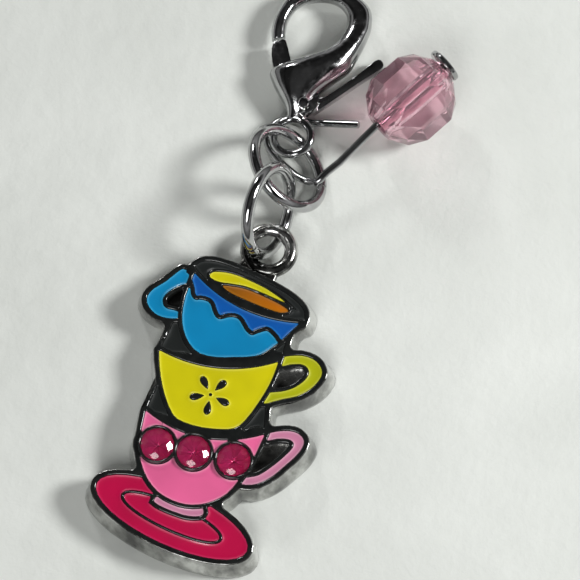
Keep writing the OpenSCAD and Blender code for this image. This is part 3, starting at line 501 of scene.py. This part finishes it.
def enamel_finish(name, color, edge, tint=None):
    """Glossy enamel with a painted paler sheen where it climbs its metal border, with a faint unevenness."""
    material, tree, shader = new_material(name)
    deep = tuple(0.86 * c for c in color)
    body = ramp(tree, noise(tree, 260.0, 2.0), [(0.35, deep), (0.65, color)])
    if tint:
        across = tree.nodes.new("ShaderNodeSeparateXYZ")
        tree.links.new(tree.nodes.new("ShaderNodeTexCoord").outputs["Object"], across.inputs["Vector"])
        share = tree.nodes.new("ShaderNodeMapRange")
        share.inputs["From Min"].default_value = tint["from"] * MM
        share.inputs["From Max"].default_value = tint["to"] * MM
        tree.links.new(across.outputs["X"], share.inputs["Value"])
        body = mixed(tree, share.outputs["Result"], body, tint["color"])
    # The edge colour is painted sheen, blended in by the paint number near the border
    tree.links.new(mixed(tree, painted(tree), body, edge), shader.inputs["Base Color"])
    shader.inputs["Roughness"].default_value = 0.32
    shader.inputs["Coat Weight"].default_value = 0.8
    shader.inputs["Coat Roughness"].default_value = 0.04
    bump(tree, shader, noise(tree, 600.0, 2.0), 0.25, 0.00002)
    return material


def clear_stone(name, color, ior, clearness):
    """Clear coloured glass or acrylic with a trace of fine scratches."""
    material, tree, shader = new_material(name)
    shade = ramp(tree, noise(tree, 300.0, 2.0), [(0.3, tuple(0.9 * c for c in color)), (0.7, color)])
    tree.links.new(shade, shader.inputs["Base Color"])
    shader.inputs["Transmission Weight"].default_value = clearness
    shader.inputs["IOR"].default_value = ior
    tree.links.new(ramp(tree, noise(tree, 3000.0), [(0.4, 0.01), (0.8, 0.04)]), shader.inputs["Roughness"])
    return material


def foil_back(name, color):
    """The mirrored colour foil behind a stone."""
    material, tree, shader = new_material(name)
    shade = ramp(tree, noise(tree, 500.0, 2.0), [(0.3, tuple(0.6 * c for c in color)), (0.7, color)])
    tree.links.new(shade, shader.inputs["Base Color"])
    shader.inputs["Metallic"].default_value = 0.5
    shader.inputs["Roughness"].default_value = 0.20
    return material


def paper(name):
    """White paper with a faint tooth and soft mottling."""
    material, tree, shader = new_material(name)
    mottle = ramp(tree, noise(tree, 90.0, 5.0), [(0.3, (0.60, 0.62, 0.585)), (0.7, (0.68, 0.70, 0.665))])
    tree.links.new(mottle, shader.inputs["Base Color"])
    shader.inputs["Roughness"].default_value = 0.85
    bump(tree, shader, noise(tree, 700.0, 6.0), 0.6, 0.00016)
    return material


PLATING = bright_plating("bright_plating", tone=0.55, wave=0.35)
DARK_PLATING = bright_plating("shaded_plating", tone=0.46, wave=0.15)
CASTING = cast_plating("cast_plating")
STONE_GLASS = clear_stone("stone_glass", (1.0, 0.58, 0.80), 1.58, 1.0)
STONE_FOIL = foil_back("stone_foil", (1.0, 0.11, 0.36))
BEAD_ACRYLIC = clear_stone("bead_acrylic", (1.0, 0.65, 0.745), 1.55, 0.90)

# The second colour of each enamel is its painted sheen along the border
ENAMELS = {
    "light_blue_enamel": enamel_finish("light_blue_finish", (0.0, 0.22, 0.46), (0.03, 0.34, 0.58)),
    "dark_blue_enamel": enamel_finish("dark_blue_finish", (0.0, 0.085, 0.37), (0.01, 0.16, 0.47)),
    "yellow_enamel": enamel_finish("yellow_finish", (0.62, 0.56, 0.0), (0.72, 0.68, 0.03)),
    "olive_yellow_enamel": enamel_finish("olive_finish", (0.40, 0.42, 0.002), (0.55, 0.56, 0.03)),
    "tea_brown_enamel": enamel_finish("tea_finish", (0.22, 0.078, 0.001), (0.36, 0.13, 0.004),
                                      {"from": -3.0, "to": 0.8, "color": (0.50, 0.14, 0.0)}),
    "pink_enamel": enamel_finish("pink_finish", (0.76, 0.125, 0.30), (0.80, 0.25, 0.40)),
    "dusty_pink_enamel": enamel_finish("dusty_pink_finish", (0.53, 0.19, 0.31), (0.64, 0.32, 0.43)),
    "crimson_enamel": enamel_finish("crimson_finish", (0.47, 0.0, 0.052), (0.54, 0.02, 0.10)),
    "black_enamel": enamel_finish("black_finish", (0.010, 0.012, 0.0115), (0.02, 0.023, 0.022)),
}
NODE_SLOTS = {row["node"]: row["material_slot"] for row in frame["record"]["subparts"]}


# The pendant

def round_edge(distance, radius):
    """How far a rounded edge lies below the flat top, at a distance in from its side."""
    d = np.clip(distance, 0, radius)
    return radius - np.sqrt(np.maximum(radius**2 - (radius - d)**2, 0))


def is_outer(loop):
    """Outlines are traced with the metal on the left, so an outer one runs anticlockwise."""
    a, b = loop, np.roll(loop, -1, 0)
    return (a[:, 0] * b[:, 1] - a[:, 1] * b[:, 0]).sum() > 0


def slab(shape, outline, low, high, radius):
    """A flat bar with all its edges rounded."""
    flat, faces = filled([outline], [0.3 * radius, 0.65 * radius, radius], 0.25)
    drop = round_edge(edge_distance(flat, [outline]), radius)
    shape.cap(flat, faces, high - drop)
    shape.cap(flat, faces, low + drop, down=True)
    rows = [np.column_stack([outline, np.full(len(outline), z)]) for z in (low + radius, high - radius)]
    shape.rings(rows)


def plate_sides(shape, outline):
    """The plate's drafted side, from the rounded line top down to its rounded back edge, and its back."""
    # [height, share of the draft, offset outwards, how dark: a painted dark reflection in a band just under
    # the line top]
    profile = [
        (LINE_TOP - LINE_ROUND, 0.0, 0.0, 0.0), (2.0, 0.0, 0.01, 0.25), (1.86, 0.02, 0.03, 0.15),
        (1.6, 0.12, 0.05, 0.0), (1.3, 0.30, 0.065, 0.0), (0.9, 0.55, 0.075, 0.0), (0.5, 0.80, 0.08, 0.0),
        (0.2, 0.96, 0.08, 0.0), (0.10, 0.93, 0.06, 0.0), (0.035, 0.85, 0.02, 0.0), (0.0, 0.72, -0.06, 0.0),
    ]
    out = -inward(outline)
    rows, shades = [], []
    for height, share, offset, shade in profile:
        spread = 1 + share * 2 * SIDE_DRAFT / PLATE_SIZE
        row = PLATE_MIDDLE + (outline + out * offset - PLATE_MIDDLE) * spread
        rows.append(np.column_stack([row, np.full(len(row), height)]))
        shades.append(shade)
    shape.rings(rows[::-1], shades[::-1])
    back = rows[-1][:, :2]
    flat, faces = filled([back], [], 0.6)
    shape.cap(flat, faces, 0.0, down=True)


def circle(radius, sides):
    """Points round a circle about the origin, anticlockwise."""
    turns = np.linspace(0, 2 * math.pi, sides, endpoint=False)
    return radius * np.stack([np.cos(turns), np.sin(turns)], 1)


def setting(shape, centre):
    """A stone's collar: outer wall, rounded lip and the seat down to the stone's point."""
    sides = SETTING_SIDES
    # [radius, height, how dark: painted dark reflection on the collar, fading down the seat]
    profile = [
        (SETTING_R, LINE_TOP - 0.02, 1.0), (SETTING_R, SETTING_TOP - 0.05, 1.0),
        (SETTING_R - 0.02, SETTING_TOP - 0.015, 1.0), (SETTING_R - 0.06, SETTING_TOP, 1.0),
        (SETTING_R - 0.12, SETTING_TOP - 0.02, 1.0), (SEAT_R, SETTING_TOP - 0.07, 1.0),
        (SEAT_R, GIRDLE_Z - 0.02, 0.6), (0.1, GIRDLE_Z - 0.02 - SEAT_DEPTH * STONE_D / 2, 0.3),
    ]
    rows = [np.column_stack([centre + circle(r, sides), np.full(sides, z)]) for r, z, _ in profile]
    shape.rings(rows, [shade for _, _, shade in profile])
    bottom = rows[-1].mean(0)
    shape.add(list(rows[-1]) + [bottom], [(k, (k + 1) % sides, sides) for k in range(sides)], 0.3)


def torus_rows(middle_r, width, height, around, section):
    """Sections of a ring of oval bar, about the origin."""
    rows = []
    for i in range(around):
        a = 2 * math.pi * i / around
        row = []
        for k in range(section):
            b = 2 * math.pi * k / section
            r = middle_r + width / 2 * math.cos(b)
            row.append((r * math.cos(a), r * math.sin(a), height / 2 * math.sin(b)))
        rows.append(np.array(row))
    return rows


def from_stones(points):
    """Distance of each point from the middle of the nearest stone."""
    return np.min([np.linalg.norm(points - centre, axis=1) for centre in STONE_CENTRES.values()], 0)


def is_well(loop):
    """A handle's bare well: a hole between the lines that holds no enamel."""
    if is_outer(loop):
        return False
    probes = loop - 0.06 * inward(loop)
    return not any(inside(probes, [patch]).mean() > 0.3 for patch in PATCHES)


def pendant():
    """The casting: its lines, recesses, sides, settings, loop and neck."""
    shape = Shape()
    loops = [smooth_outline(loop) for loop in cap_loops("pendant_plate", LINE_TOP)]
    loops = [loop for loop in loops if from_stones(loop).max() > SETTING_R + 0.05]
    outer = max(loops, key=lambda loop: np.ptp(loop[:, 1]))
    seat = circle(SEAT_R, SETTING_SIDES) * (1, -1)
    seat_holes = [centre + seat for centre in STONE_CENTRES.values()]
    flat, faces = filled(loops + seat_holes, [0.25 * LINE_ROUND, 0.6 * LINE_ROUND, LINE_ROUND], 0.5)
    drop = round_edge(edge_distance(flat, loops), LINE_ROUND)
    # Painted dark reflection over the line tops, left off a thin bright edge along the outer outline
    painted_dark_reflection = np.clip((edge_distance(flat, [outer]) - 0.04) / 0.05, 0, 1)
    shape.cap(flat, faces, LINE_TOP - drop, painted_dark_reflection)
    for loop in loops:
        if loop is outer:
            continue
        well = is_well(loop)
        floor = WELL_FLOOR if well else RECESS_FLOOR
        rows = [np.column_stack([loop, np.full(len(loop), z)]) for z in (floor, LINE_TOP - LINE_ROUND)]
        # Painted dark reflection: full on the walls and floors under the enamel, and on a well's walls darker
        # towards the line top, with a trace on its floor
        shape.rings(rows, [0.25, 0.9] if well else [1.0, 1.0])
        if not is_outer(loop):
            base, base_faces = filled([loop[::-1]], [], 0.3 if well else 0.8)
            shape.cap(base, base_faces, floor, 0.12 if well else 1.0)
    plate_sides(shape, outer)
    for centre in STONE_CENTRES.values():
        setting(shape, centre)
    loop_rows = [row + np.array(LOOP_AT) for row in torus_rows(LOOP_MID_R, LOOP_W, LOOP_H, 96, 24)]
    shape.rings(loop_rows, closed=True)
    neck(shape)
    place(shape.object("pendant_casting", 48.0, CASTING), "bright_metal", "pendant_plate")


def neck(shape):
    """The web from the loop down to the plate's edge."""
    turn = Matrix.Rotation(math.radians(CUP_TILT), 2)
    arc = [Vector((math.cos(a), math.sin(a))) * (LOOP_MID_R + 0.05)
           for a in np.radians(np.linspace(-148, -32, 18))]
    flip = Vector((-1, 1))
    ends = [NECK_TOP, NECK_FOOT, NECK_FOOT * flip, NECK_TOP * flip]
    outline = np.array([tuple(turn @ p + LOOP_AT.xy) for p in arc + ends])
    if not is_outer(outline):
        outline = outline[::-1]
    outline = smooth_outline(outline, 2)
    slab(shape, outline, LOOP_AT.z + NECK_LOW, LOOP_AT.z + NECK_HIGH, NECK_ROUND)


def enamel_patch(node):
    """One fill of enamel, low in its middle and climbing to its borders."""
    shape = Shape()
    loops = [smooth_outline(loop) for loop in cap_loops(node, ENAMEL_TOP)]
    flat, faces = filled(loops, ENAMEL_ROWS, ENAMEL_GRID)
    depth = edge_distance(flat, loops)
    sink = ENAMEL_SINK * (1 - np.exp(-(depth / ENAMEL_CLIMB)**1.4))
    waves = ENAMEL_WAVE * np.sin(flat[:, 0] * 2.1 + 0.7) * np.cos(flat[:, 1] * 1.7)
    heights = ENAMEL_TOP - sink + waves * np.clip(depth / 0.3, 0, 1)
    # Painted sheen: the paint number is highest at the border and fades inwards
    shape.cap(flat, faces, heights, np.exp(-(depth / ENAMEL_SHEEN_REACH)**2))
    shape.cap(flat, faces, ENAMEL_BOTTOM, 0.0, down=True)
    for loop in loops:
        rows = [np.column_stack([loop, np.full(len(loop), z)]) for z in (ENAMEL_BOTTOM, ENAMEL_TOP)]
        shape.rings(rows, [0.0, 1.0])
    slot = NODE_SLOTS[node]
    place(shape.object(node + "_fill", 50.0, ENAMELS[slot]), slot, node)


ENAMEL_NODES = [n for n, s in NODE_SLOTS.items() if s.endswith("_enamel")]
PATCHES = [loop for n in ENAMEL_NODES for loop in cap_loops(n, ENAMEL_TOP) if is_outer(loop)]
STONE_CENTRES = {side: sum(np.array(corner[:2]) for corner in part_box(f"stone_{side}")) / 2 / MM
                 for side in ("left", "middle", "right")}


def stone(side):
    """A round brilliant with table, star, kite and girdle facets over a foiled point."""
    centre = np.array([*STONE_CENTRES[side], 0])
    r = STONE_D / 2
    n = 8
    # [share of the radius, height in shares of the radius, turn in shares of a facet, points for each facet]
    table = [(0.56, 0.30, 0.0, 1), (0.80, 0.19, 0.5, 1), (1.0, 0.04, 0.0, 2), (1.0, -0.02, 0.0, 2),
             (0.62, -0.30, 0.5, 1), (0.03, -0.72, 0.0, 1)]
    points = []
    for share, height, turn, split in table:
        for k in range(n * split):
            a = 2 * math.pi * (k / split + turn) / n
            out = r * share
            points.append(centre + np.array([out * math.cos(a), out * math.sin(a), r * height + GIRDLE_Z]))
    top, kite, upper, lower, mains, culet = 0, n, 2 * n, 4 * n, 6 * n, 7 * n
    faces = [tuple(range(top, top + n))]
    for k in range(n):
        j = (k + 1) % n
        even, odd, following = 2 * k, 2 * k + 1, (2 * k + 2) % (2 * n)
        faces += [
            (top + k, kite + k, top + j),
            (top + j, kite + k, upper + following, kite + j),
            (kite + k, upper + even, upper + odd), (kite + k, upper + odd, upper + following),
            (upper + even, lower + even, lower + odd, upper + odd),
            (upper + odd, lower + odd, lower + following, upper + following),
            (lower + even, mains + k, lower + odd), (lower + odd, mains + k, lower + following),
            (lower + following, mains + k, culet + j, mains + j),
        ]
    faces.append(tuple(range(culet, culet + n))[::-1])
    shape = Shape()
    shape.add(points, faces)
    obj = shape.object(f"stone_{side}_cut", 0.0, STONE_GLASS)
    obj.data.materials.append(STONE_FOIL)
    for face in obj.data.polygons:
        middle = sum(obj.data.vertices[i].co.z for i in face.vertices) / len(face.vertices)
        face.material_index = int(middle < (GIRDLE_Z - FOIL_DROP) * MM)
    place(obj, "pink_stone", f"stone_{side}")


# Rings, pin, bead and clasp

def wire_tree():
    """Geometry nodes that sweep a round section along a path, scaled by the radius kept on its points."""
    tree = bpy.data.node_groups.new("swept_wire", "GeometryNodeTree")
    tree.interface.new_socket("Path", in_out="INPUT", socket_type="NodeSocketGeometry")
    sides = tree.interface.new_socket("Sides", in_out="INPUT", socket_type="NodeSocketInt")
    metal = tree.interface.new_socket("Metal", in_out="INPUT", socket_type="NodeSocketMaterial")
    tree.interface.new_socket("Wire", in_out="OUTPUT", socket_type="NodeSocketGeometry")
    add = tree.nodes.new
    given, result = add("NodeGroupInput"), add("NodeGroupOutput")
    curve, section = add("GeometryNodeMeshToCurve"), add("GeometryNodeCurvePrimitiveCircle")
    sweep, radius = add("GeometryNodeCurveToMesh"), add("GeometryNodeInputNamedAttribute")
    smooth, realize = add("GeometryNodeSetShadeSmooth"), add("GeometryNodeRealizeInstances")
    finish = add("GeometryNodeSetMaterial")
    radius.data_type = "FLOAT"
    radius.inputs["Name"].default_value = "wire_radius"
    section.inputs["Radius"].default_value = 1.0
    sweep.inputs["Fill Caps"].default_value = True
    link = tree.links.new
    link(given.outputs["Path"], curve.inputs["Mesh"])
    link(given.outputs["Sides"], section.inputs["Resolution"])
    link(curve.outputs["Curve"], sweep.inputs["Curve"])
    link(radius.outputs["Attribute"], sweep.inputs["Scale"])
    link(section.outputs["Curve"], sweep.inputs["Profile Curve"])
    link(sweep.outputs["Mesh"], smooth.inputs["Geometry"])
    link(smooth.outputs["Geometry"], realize.inputs["Geometry"])
    link(realize.outputs["Geometry"], finish.inputs["Geometry"])
    link(given.outputs["Metal"], finish.inputs["Material"])
    link(finish.outputs["Geometry"], result.inputs["Wire"])
    return tree, sides.identifier, metal.identifier


WIRE_TREE = wire_tree()


def swept(name, rows, sides, material, sharp=40.0):
    """A wire through rows of (point, radius) in millimetres, swept by the wire tree, as a plain mesh."""
    tree, sides_id, metal_id = WIRE_TREE
    path = bpy.data.meshes.new(name + "_path")
    path.from_pydata([tuple(p * MM) for p, _ in rows], [(i, i + 1) for i in range(len(rows) - 1)], [])
    radius = path.attributes.new("wire_radius", "FLOAT", "POINT")
    radius.data.foreach_set("value", [r * MM for _, r in rows])
    source = bpy.data.objects.new(name + "_path", path)
    bpy.context.scene.collection.objects.link(source)
    modifier = source.modifiers.new("sweep", "NODES")
    modifier.node_group = tree
    modifier[sides_id] = sides
    modifier[metal_id] = material
    evaluated = source.evaluated_get(bpy.context.evaluated_depsgraph_get())
    mesh = bpy.data.meshes.new_from_object(evaluated)
    bpy.data.objects.remove(source)
    mesh.materials.clear()
    return finished(name, mesh, 0.0002, sharp, material)


def jump_ring(name, values):
    """A ring of round wire, with the thin slit where its ends meet."""
    slit = RING_SLIT / RING_R
    turn, tilt, slit_at = (math.radians(values[key]) for key in ("turn", "tilt", "slit"))
    lean = (Euler((0, 0, turn)).to_matrix() @ Euler((0, tilt, 0)).to_matrix()
            @ Euler((0, 0, slit_at)).to_matrix())
    lift = RING_WIRE / 2 + RING_R * math.sin(tilt) + RING_LIFT
    centre = Vector((*values["at"], lift))
    rows = []
    for i in range(RING_STEPS + 1):
        a = slit / 2 + (2 * math.pi - slit) * i / RING_STEPS
        soft = RING_END if i in (0, RING_STEPS) else 1.0
        point = centre + lean @ Vector((RING_R * math.cos(a), RING_R * math.sin(a), 0))
        rows.append((point, RING_WIRE / 2 * soft))
    place(swept(name + "_wire", rows, 24, PLATING), "bright_metal", name)


def smooth_line(points, steps):
    """Catmull-Rom curve through the points."""
    out, n = [], len(points)
    for i in range(n - 1):
        a, b, c, d = points[max(i - 1, 0)], points[i], points[i + 1], points[min(i + 2, n - 1)]
        for k in range(steps):
            t = k / steps
            bend, twist = 2 * a - 5 * b + 4 * c - d, 3 * b - a - 3 * c + d
            out.append(0.5 * (2 * b + (c - a) * t + bend * t**2 + twist * t**3))
    return out + [points[-1]]


PIN_POINTS = [Vector((x * BASE_LOOP_R, y * BASE_LOOP_R, z * CLASP_MID_Z)) for x, y, z in PIN_ROUTE]
BEAD_CENTRE = Vector((BEAD_AT[0] * BASE_LOOP_R, BEAD_AT[1] * BASE_LOOP_R, BEAD_D / 2))
PIN_WAY = (BEAD_CENTRE - PIN_POINTS[0]).normalized()


def head_pin():
    """Flat head, straight stem and the loose open loop round the clasp's base loop."""
    middle = BASE_LOOP_AT + (BEAD_CENTRE + BEAD_SLACK * BEAD_HANG)
    end = BEAD_D / 2 * math.sin(math.radians(BEAD_END))
    under, r, head = end + PIN_HEAD_GAP, PIN_WIRE / 2, PIN_HEAD_D / 2
    # [distance along the stem from the bead's middle, radius]
    stem = [
        (under + PIN_HEAD_T, head - 0.12), (under + PIN_HEAD_T - 0.03, head - 0.04),
        (under + 0.75 * PIN_HEAD_T, head), (under + 0.3 * PIN_HEAD_T, head), (under + 0.03, head - 0.05),
        (under, head - 0.12), (under - 0.01, r + 0.05), (under - 0.05, r), (0.0, r), (-end, r),
    ]
    rows = [(middle + PIN_WAY * d, radius) for d, radius in stem]
    rows += [(BASE_LOOP_AT + p, r) for p in smooth_line(PIN_POINTS, 8)]
    tip, before = rows[-1][0], rows[-2][0]
    rows.append((tip + (tip - before).normalized() * 0.03, r - 0.04))
    place(swept("head_pin_wire", rows, 32, DARK_PLATING, 22.0), "bright_metal", "head_pin")


def bead():
    """Clear faceted round bead with long facets along its hole and short ones towards its ends."""
    # [latitude, turn in shares of a facet]
    bands = [(-BEAD_END, 0.0), (-44, 0.5), (-20, 0.0), (20, 0.0), (44, 0.5), (BEAD_END, 0.0)]
    n, r, hole = BEAD_FACETS, BEAD_FIT * BEAD_D / 2, BEAD_HOLE_D / 2
    side = PIN_WAY.orthogonal().normalized()
    other = PIN_WAY.cross(side)
    centre = BASE_LOOP_AT + BEAD_CENTRE

    def ring(radius, along, turn, count=n):
        middle = centre + along * PIN_WAY
        angles = [2 * math.pi * (k + turn) / count for k in range(count)]
        return [tuple(middle + radius * (math.cos(a) * side + math.sin(a) * other)) for a in angles]

    shape = Shape()
    rows = [ring(r * math.cos(math.radians(b)), r * math.sin(math.radians(b)), t) for b, t in bands]
    points = [p for row in rows for p in row]
    faces = []
    for i in range(len(bands) - 1):
        shift = bands[i + 1][1] - bands[i][1]
        for k in range(n):
            a, b = i * n + k, i * n + (k + 1) % n
            c, d = (i + 1) * n + (k + 1) % n, (i + 1) * n + k
            if shift == 0:
                faces.append((a, b, c, d))
            elif shift > 0:
                faces += [(a, b, d), (b, c, d)]
            else:
                faces += [(a, c, d), (a, b, c)]
    shape.add(points, faces)
    end = r * math.sin(math.radians(BEAD_END))
    mouth = end - 0.05
    sides = HOLE_SIDES
    step = sides // n
    for way in (-1, 1):
        outer = ring(r * math.cos(math.radians(BEAD_END)), way * end, 0.0)
        inner = ring(hole, way * mouth, 0.0, sides)
        fan = []
        for k in range(n):
            for j in range(step):
                fan.append((k, n + (k * step + j) % sides, n + (k * step + j + 1) % sides))
            fan.append((k, n + (k + 1) * step % sides, (k + 1) % n))
        shape.add(outer + inner, fan if way < 0 else [f[::-1] for f in fan])
    shape.rings([ring(hole, -mouth, 0.0, sides), ring(hole, mouth, 0.0, sides)])
    place(shape.object("bead_cut", 3.0, BEAD_ACRYLIC), "pink_bead", "bead")


def worn_copy(node, name, width, material, body="root"):
    """A copy of a metal solid with merged points and softened edges."""
    mesh = nodes[node].data.copy()
    mesh.materials.clear()
    form = bmesh.new()
    form.from_mesh(mesh)
    bmesh.ops.remove_doubles(form, verts=form.verts, dist=0.0005 * MM)
    bmesh.ops.dissolve_limit(form, angle_limit=math.radians(1.0), verts=form.verts, edges=form.edges)
    hard = [e for e in form.edges
            if len(e.link_faces) == 2 and e.calc_face_angle() > math.radians(HARD_EDGE)]
    bmesh.ops.bevel(form, geom=hard, offset=width * MM, segments=2, affect="EDGES", profile=0.5,
                    clamp_overlap=True)
    form.to_mesh(mesh)
    form.free()
    place(finished(name, mesh, 0.0005, HARD_EDGE, material), "bright_metal", node, body)


def clasp_ring(row, sides):
    """One section of the clasp's body, a soft-cornered oval between its inner and outer edges."""
    inner = np.array([row[0] * CLASP_W, row[1] * CLASP_L])
    outer = np.array([row[2] * CLASP_W, row[3] * CLASP_L])
    middle, half, thick = (inner + outer) / 2, (outer - inner) / 2, row[4] * CLASP_T / 2
    points = []
    for k in range(sides):
        a = 2 * math.pi * k / sides
        c, s = math.cos(a), math.sin(a)
        c, s = math.copysign(abs(c)**0.8, c), math.copysign(abs(s)**0.9, s)
        points.append((*(middle + half * c), thick * s))
    return points


def lever_outline(table):
    """An outline of the lever in millimetres, rounded between its corners."""
    return smooth_outline(np.array(table) * (CLASP_W, CLASP_L), 5, corner=85.0)


def extruded(shape, outline, low, high):
    """A plain bar of an outline between two heights."""
    flat, faces = filled([outline], [])
    shape.cap(flat, faces, high)
    shape.cap(flat, faces, low, down=True)
    shape.rings([np.column_stack([outline, np.full(len(outline), z)]) for z in (low, high)])


def turned(points, angle):
    """Points in the clasp's plane, turned about the lever's pivot."""
    c, s = math.cos(math.radians(angle)), math.sin(math.radians(angle))
    away = points - PIVOT_AT
    return PIVOT_AT + np.stack([away[:, 0] * c + away[:, 1] * s, -away[:, 0] * s + away[:, 1] * c], 1)


def rough_object(shape, name):
    """A closed helper form in millimetres, used only by the modifiers."""
    mesh = bpy.data.meshes.new(name)
    mesh.from_pydata(shape.points, [], shape.faces)
    form = bmesh.new()
    form.from_mesh(mesh)
    bmesh.ops.remove_doubles(form, verts=form.verts, dist=0.0004)
    bmesh.ops.recalc_face_normals(form, faces=form.faces)
    form.to_mesh(mesh)
    form.free()
    obj = bpy.data.objects.new(name, mesh)
    bpy.context.scene.collection.objects.link(obj)
    return obj


def softened(body, cutters, name, material):
    """Cuts a form, fuses it into one skin, rounds it as polishing does and moves it into its place."""
    for cutter in cutters:
        cut = body.modifiers.new("cut", "BOOLEAN")
        cut.operation = "DIFFERENCE"
        cut.solver = "EXACT"
        cut.object = cutter
    fuse = body.modifiers.new("fuse", "REMESH")
    fuse.mode = "VOXEL"
    fuse.voxel_size = CLASP_VOXEL
    smooth = body.modifiers.new("polish", "SMOOTH")
    smooth.factor = 0.5
    smooth.iterations = CLASP_POLISH
    mesh = bpy.data.meshes.new_from_object(body.evaluated_get(bpy.context.evaluated_depsgraph_get()))
    for helper in [body, *cutters]:
        bpy.data.objects.remove(helper)
    mesh.materials.clear()
    mesh.transform(Matrix.Translation(BASE_LOOP_AT + Vector((0, 0, CLASP_MID_Z))))
    mesh.transform(Matrix.Scale(MM, 4))
    mesh.name = name
    return finished(name, mesh, 0.0001, 180.0, material)


def clasp_body():
    """The hooked body and its base loop, with room cut for the lever over its whole travel."""
    shape = Shape()
    rows = smooth_line([np.array(row) for row in CLASP_SECTIONS], 4)
    shape.rings([clasp_ring(row, 28) for row in rows], ends=True)
    eye = Shape()
    roll = Matrix.Rotation(math.radians(BASE_LOOP_ROLL), 3, "Y")
    loop_rows = torus_rows(BASE_LOOP_R - BASE_LOOP_WIRE / 2, BASE_LOOP_WIRE, BASE_LOOP_WIRE, 72, 20)
    eye.rings([[tuple(roll @ Vector(p)) for p in row] for row in loop_rows], closed=True)
    body = rough_object(shape, "clasp_form")
    base_loop = rough_object(eye, "base_loop_form")
    join = body.modifiers.new("join", "BOOLEAN")
    join.operation = "UNION"
    join.solver = "EXACT"
    join.object = base_loop
    cutters = []
    finger, arm = lever_outline(TRIGGER_FINGER), lever_outline(TRIGGER_ARM)
    hub = PIVOT_AT + circle(HUB_R, HOLE_SIDES)
    top = TRIGGER_T / 2 + ROOM_FACE
    for angle in (0, TRIGGER_TRAVEL / 2, TRIGGER_TRAVEL):
        for outline in (finger, arm) if angle else (finger, hub, arm):
            room = Shape()
            extruded(room, turned(outline - inward(outline) * ROOM_SIDE, angle), -top, top)
            cutters.append(rough_object(room, "trigger_room"))
    low = Shape()
    lower_arm = arm[arm[:, 0] > ARM_STEP * CLASP_W]
    extruded(low, lower_arm - inward(lower_arm) * ROOM_SIDE, ARM_BOTTOM - ROOM_FACE, 0.0)
    cutters.append(rough_object(low, "arm_room"))
    hole = Shape()
    extruded(hole, PIVOT_AT + circle(PIVOT_R + BORE_SLACK, HOLE_SIDES), -CLASP_T, CLASP_T)
    cutters.append(rough_object(hole, "pivot_bore"))
    obj = softened(body, cutters, "clasp_casting", PLATING)
    bpy.data.objects.remove(base_loop)
    place(obj, "bright_metal", "clasp_body")


def clasp():
    clasp_body()
    worn_copy("clasp_trigger", "clasp_lever", LEVER_EDGE, PLATING, "trigger")
    worn_copy("clasp_pivot_pin", "clasp_pivot_rivet", RIVET_EDGE, DARK_PLATING)


pendant()
for enamel_node in ENAMEL_NODES:
    enamel_patch(enamel_node)
for stone_side in STONE_CENTRES:
    stone(stone_side)
for ring_name, ring_values in RINGS.items():
    jump_ring(ring_name, ring_values)
head_pin()
bead()
clasp()


# Floor, lights and camera

def floor():
    mesh = bpy.data.meshes.new("paper_sheet")
    corners = [(x * SHEET_HALF, y * SHEET_HALF, 0) for x, y in ((-1, -1), (1, -1), (1, 1), (-1, 1))]
    mesh.from_pydata(corners, [], [(0, 1, 2, 3)])
    obj = bpy.data.objects.new("paper_sheet", mesh)
    bpy.context.scene.collection.objects.link(obj)
    obj.data.materials.append(paper("white_paper"))


def lamp(name, place_at, size, power):
    """A round soft lamp that faces the part."""
    light = bpy.data.lights.new(name, "AREA")
    light.shape = "DISK"
    light.size = size
    light.energy = power
    obj = bpy.data.objects.new(name, light)
    obj.location = place_at
    obj.rotation_mode = "QUATERNION"
    obj.rotation_quaternion = (-Vector(place_at)).to_track_quat("-Z", "Y")
    bpy.context.scene.collection.objects.link(obj)


def surroundings():
    """A soft studio: a bright band low all round and dark above it, as polished metal mirrors."""
    world = bpy.data.worlds.new("soft_studio")
    bpy.context.scene.world = world
    world.use_nodes = True
    tree = world.node_tree
    coords = tree.nodes.new("ShaderNodeTexCoord")
    split = tree.nodes.new("ShaderNodeSeparateXYZ")
    tree.links.new(coords.outputs["Generated"], split.inputs["Vector"])
    background = tree.nodes["Background"]
    tree.links.new(ramp(tree, split.outputs["Z"], SKY), background.inputs["Color"])
    background.inputs["Strength"].default_value = SKY_STRENGTH


def camera():
    """The photograph's view, with plain colour so that the enamels keep their strength."""
    data = bpy.data.cameras.new("camera")
    data.lens = CAMERA_LENS
    data.sensor_width = 36.0
    data.clip_start = 0.005
    obj = bpy.data.objects.new("camera", data)
    a, e = math.radians(CAMERA_AZIMUTH), math.radians(CAMERA_ELEVATION)
    back = Vector((math.sin(a) * math.cos(e), -math.cos(a) * math.cos(e), math.sin(e)))
    obj.location = CAMERA_TARGET + back * CAMERA_DISTANCE
    obj.rotation_mode = "QUATERNION"
    obj.rotation_quaternion = (-back).to_track_quat("-Z", "Y")
    bpy.context.scene.collection.objects.link(obj)
    bpy.context.scene.camera = obj
    bpy.context.scene.view_settings.view_transform = "Standard"


floor()
for lamp_name, (lamp_at, lamp_size, lamp_power) in LAMPS.items():
    lamp(lamp_name, lamp_at, lamp_size, lamp_power)
surroundings()
camera()
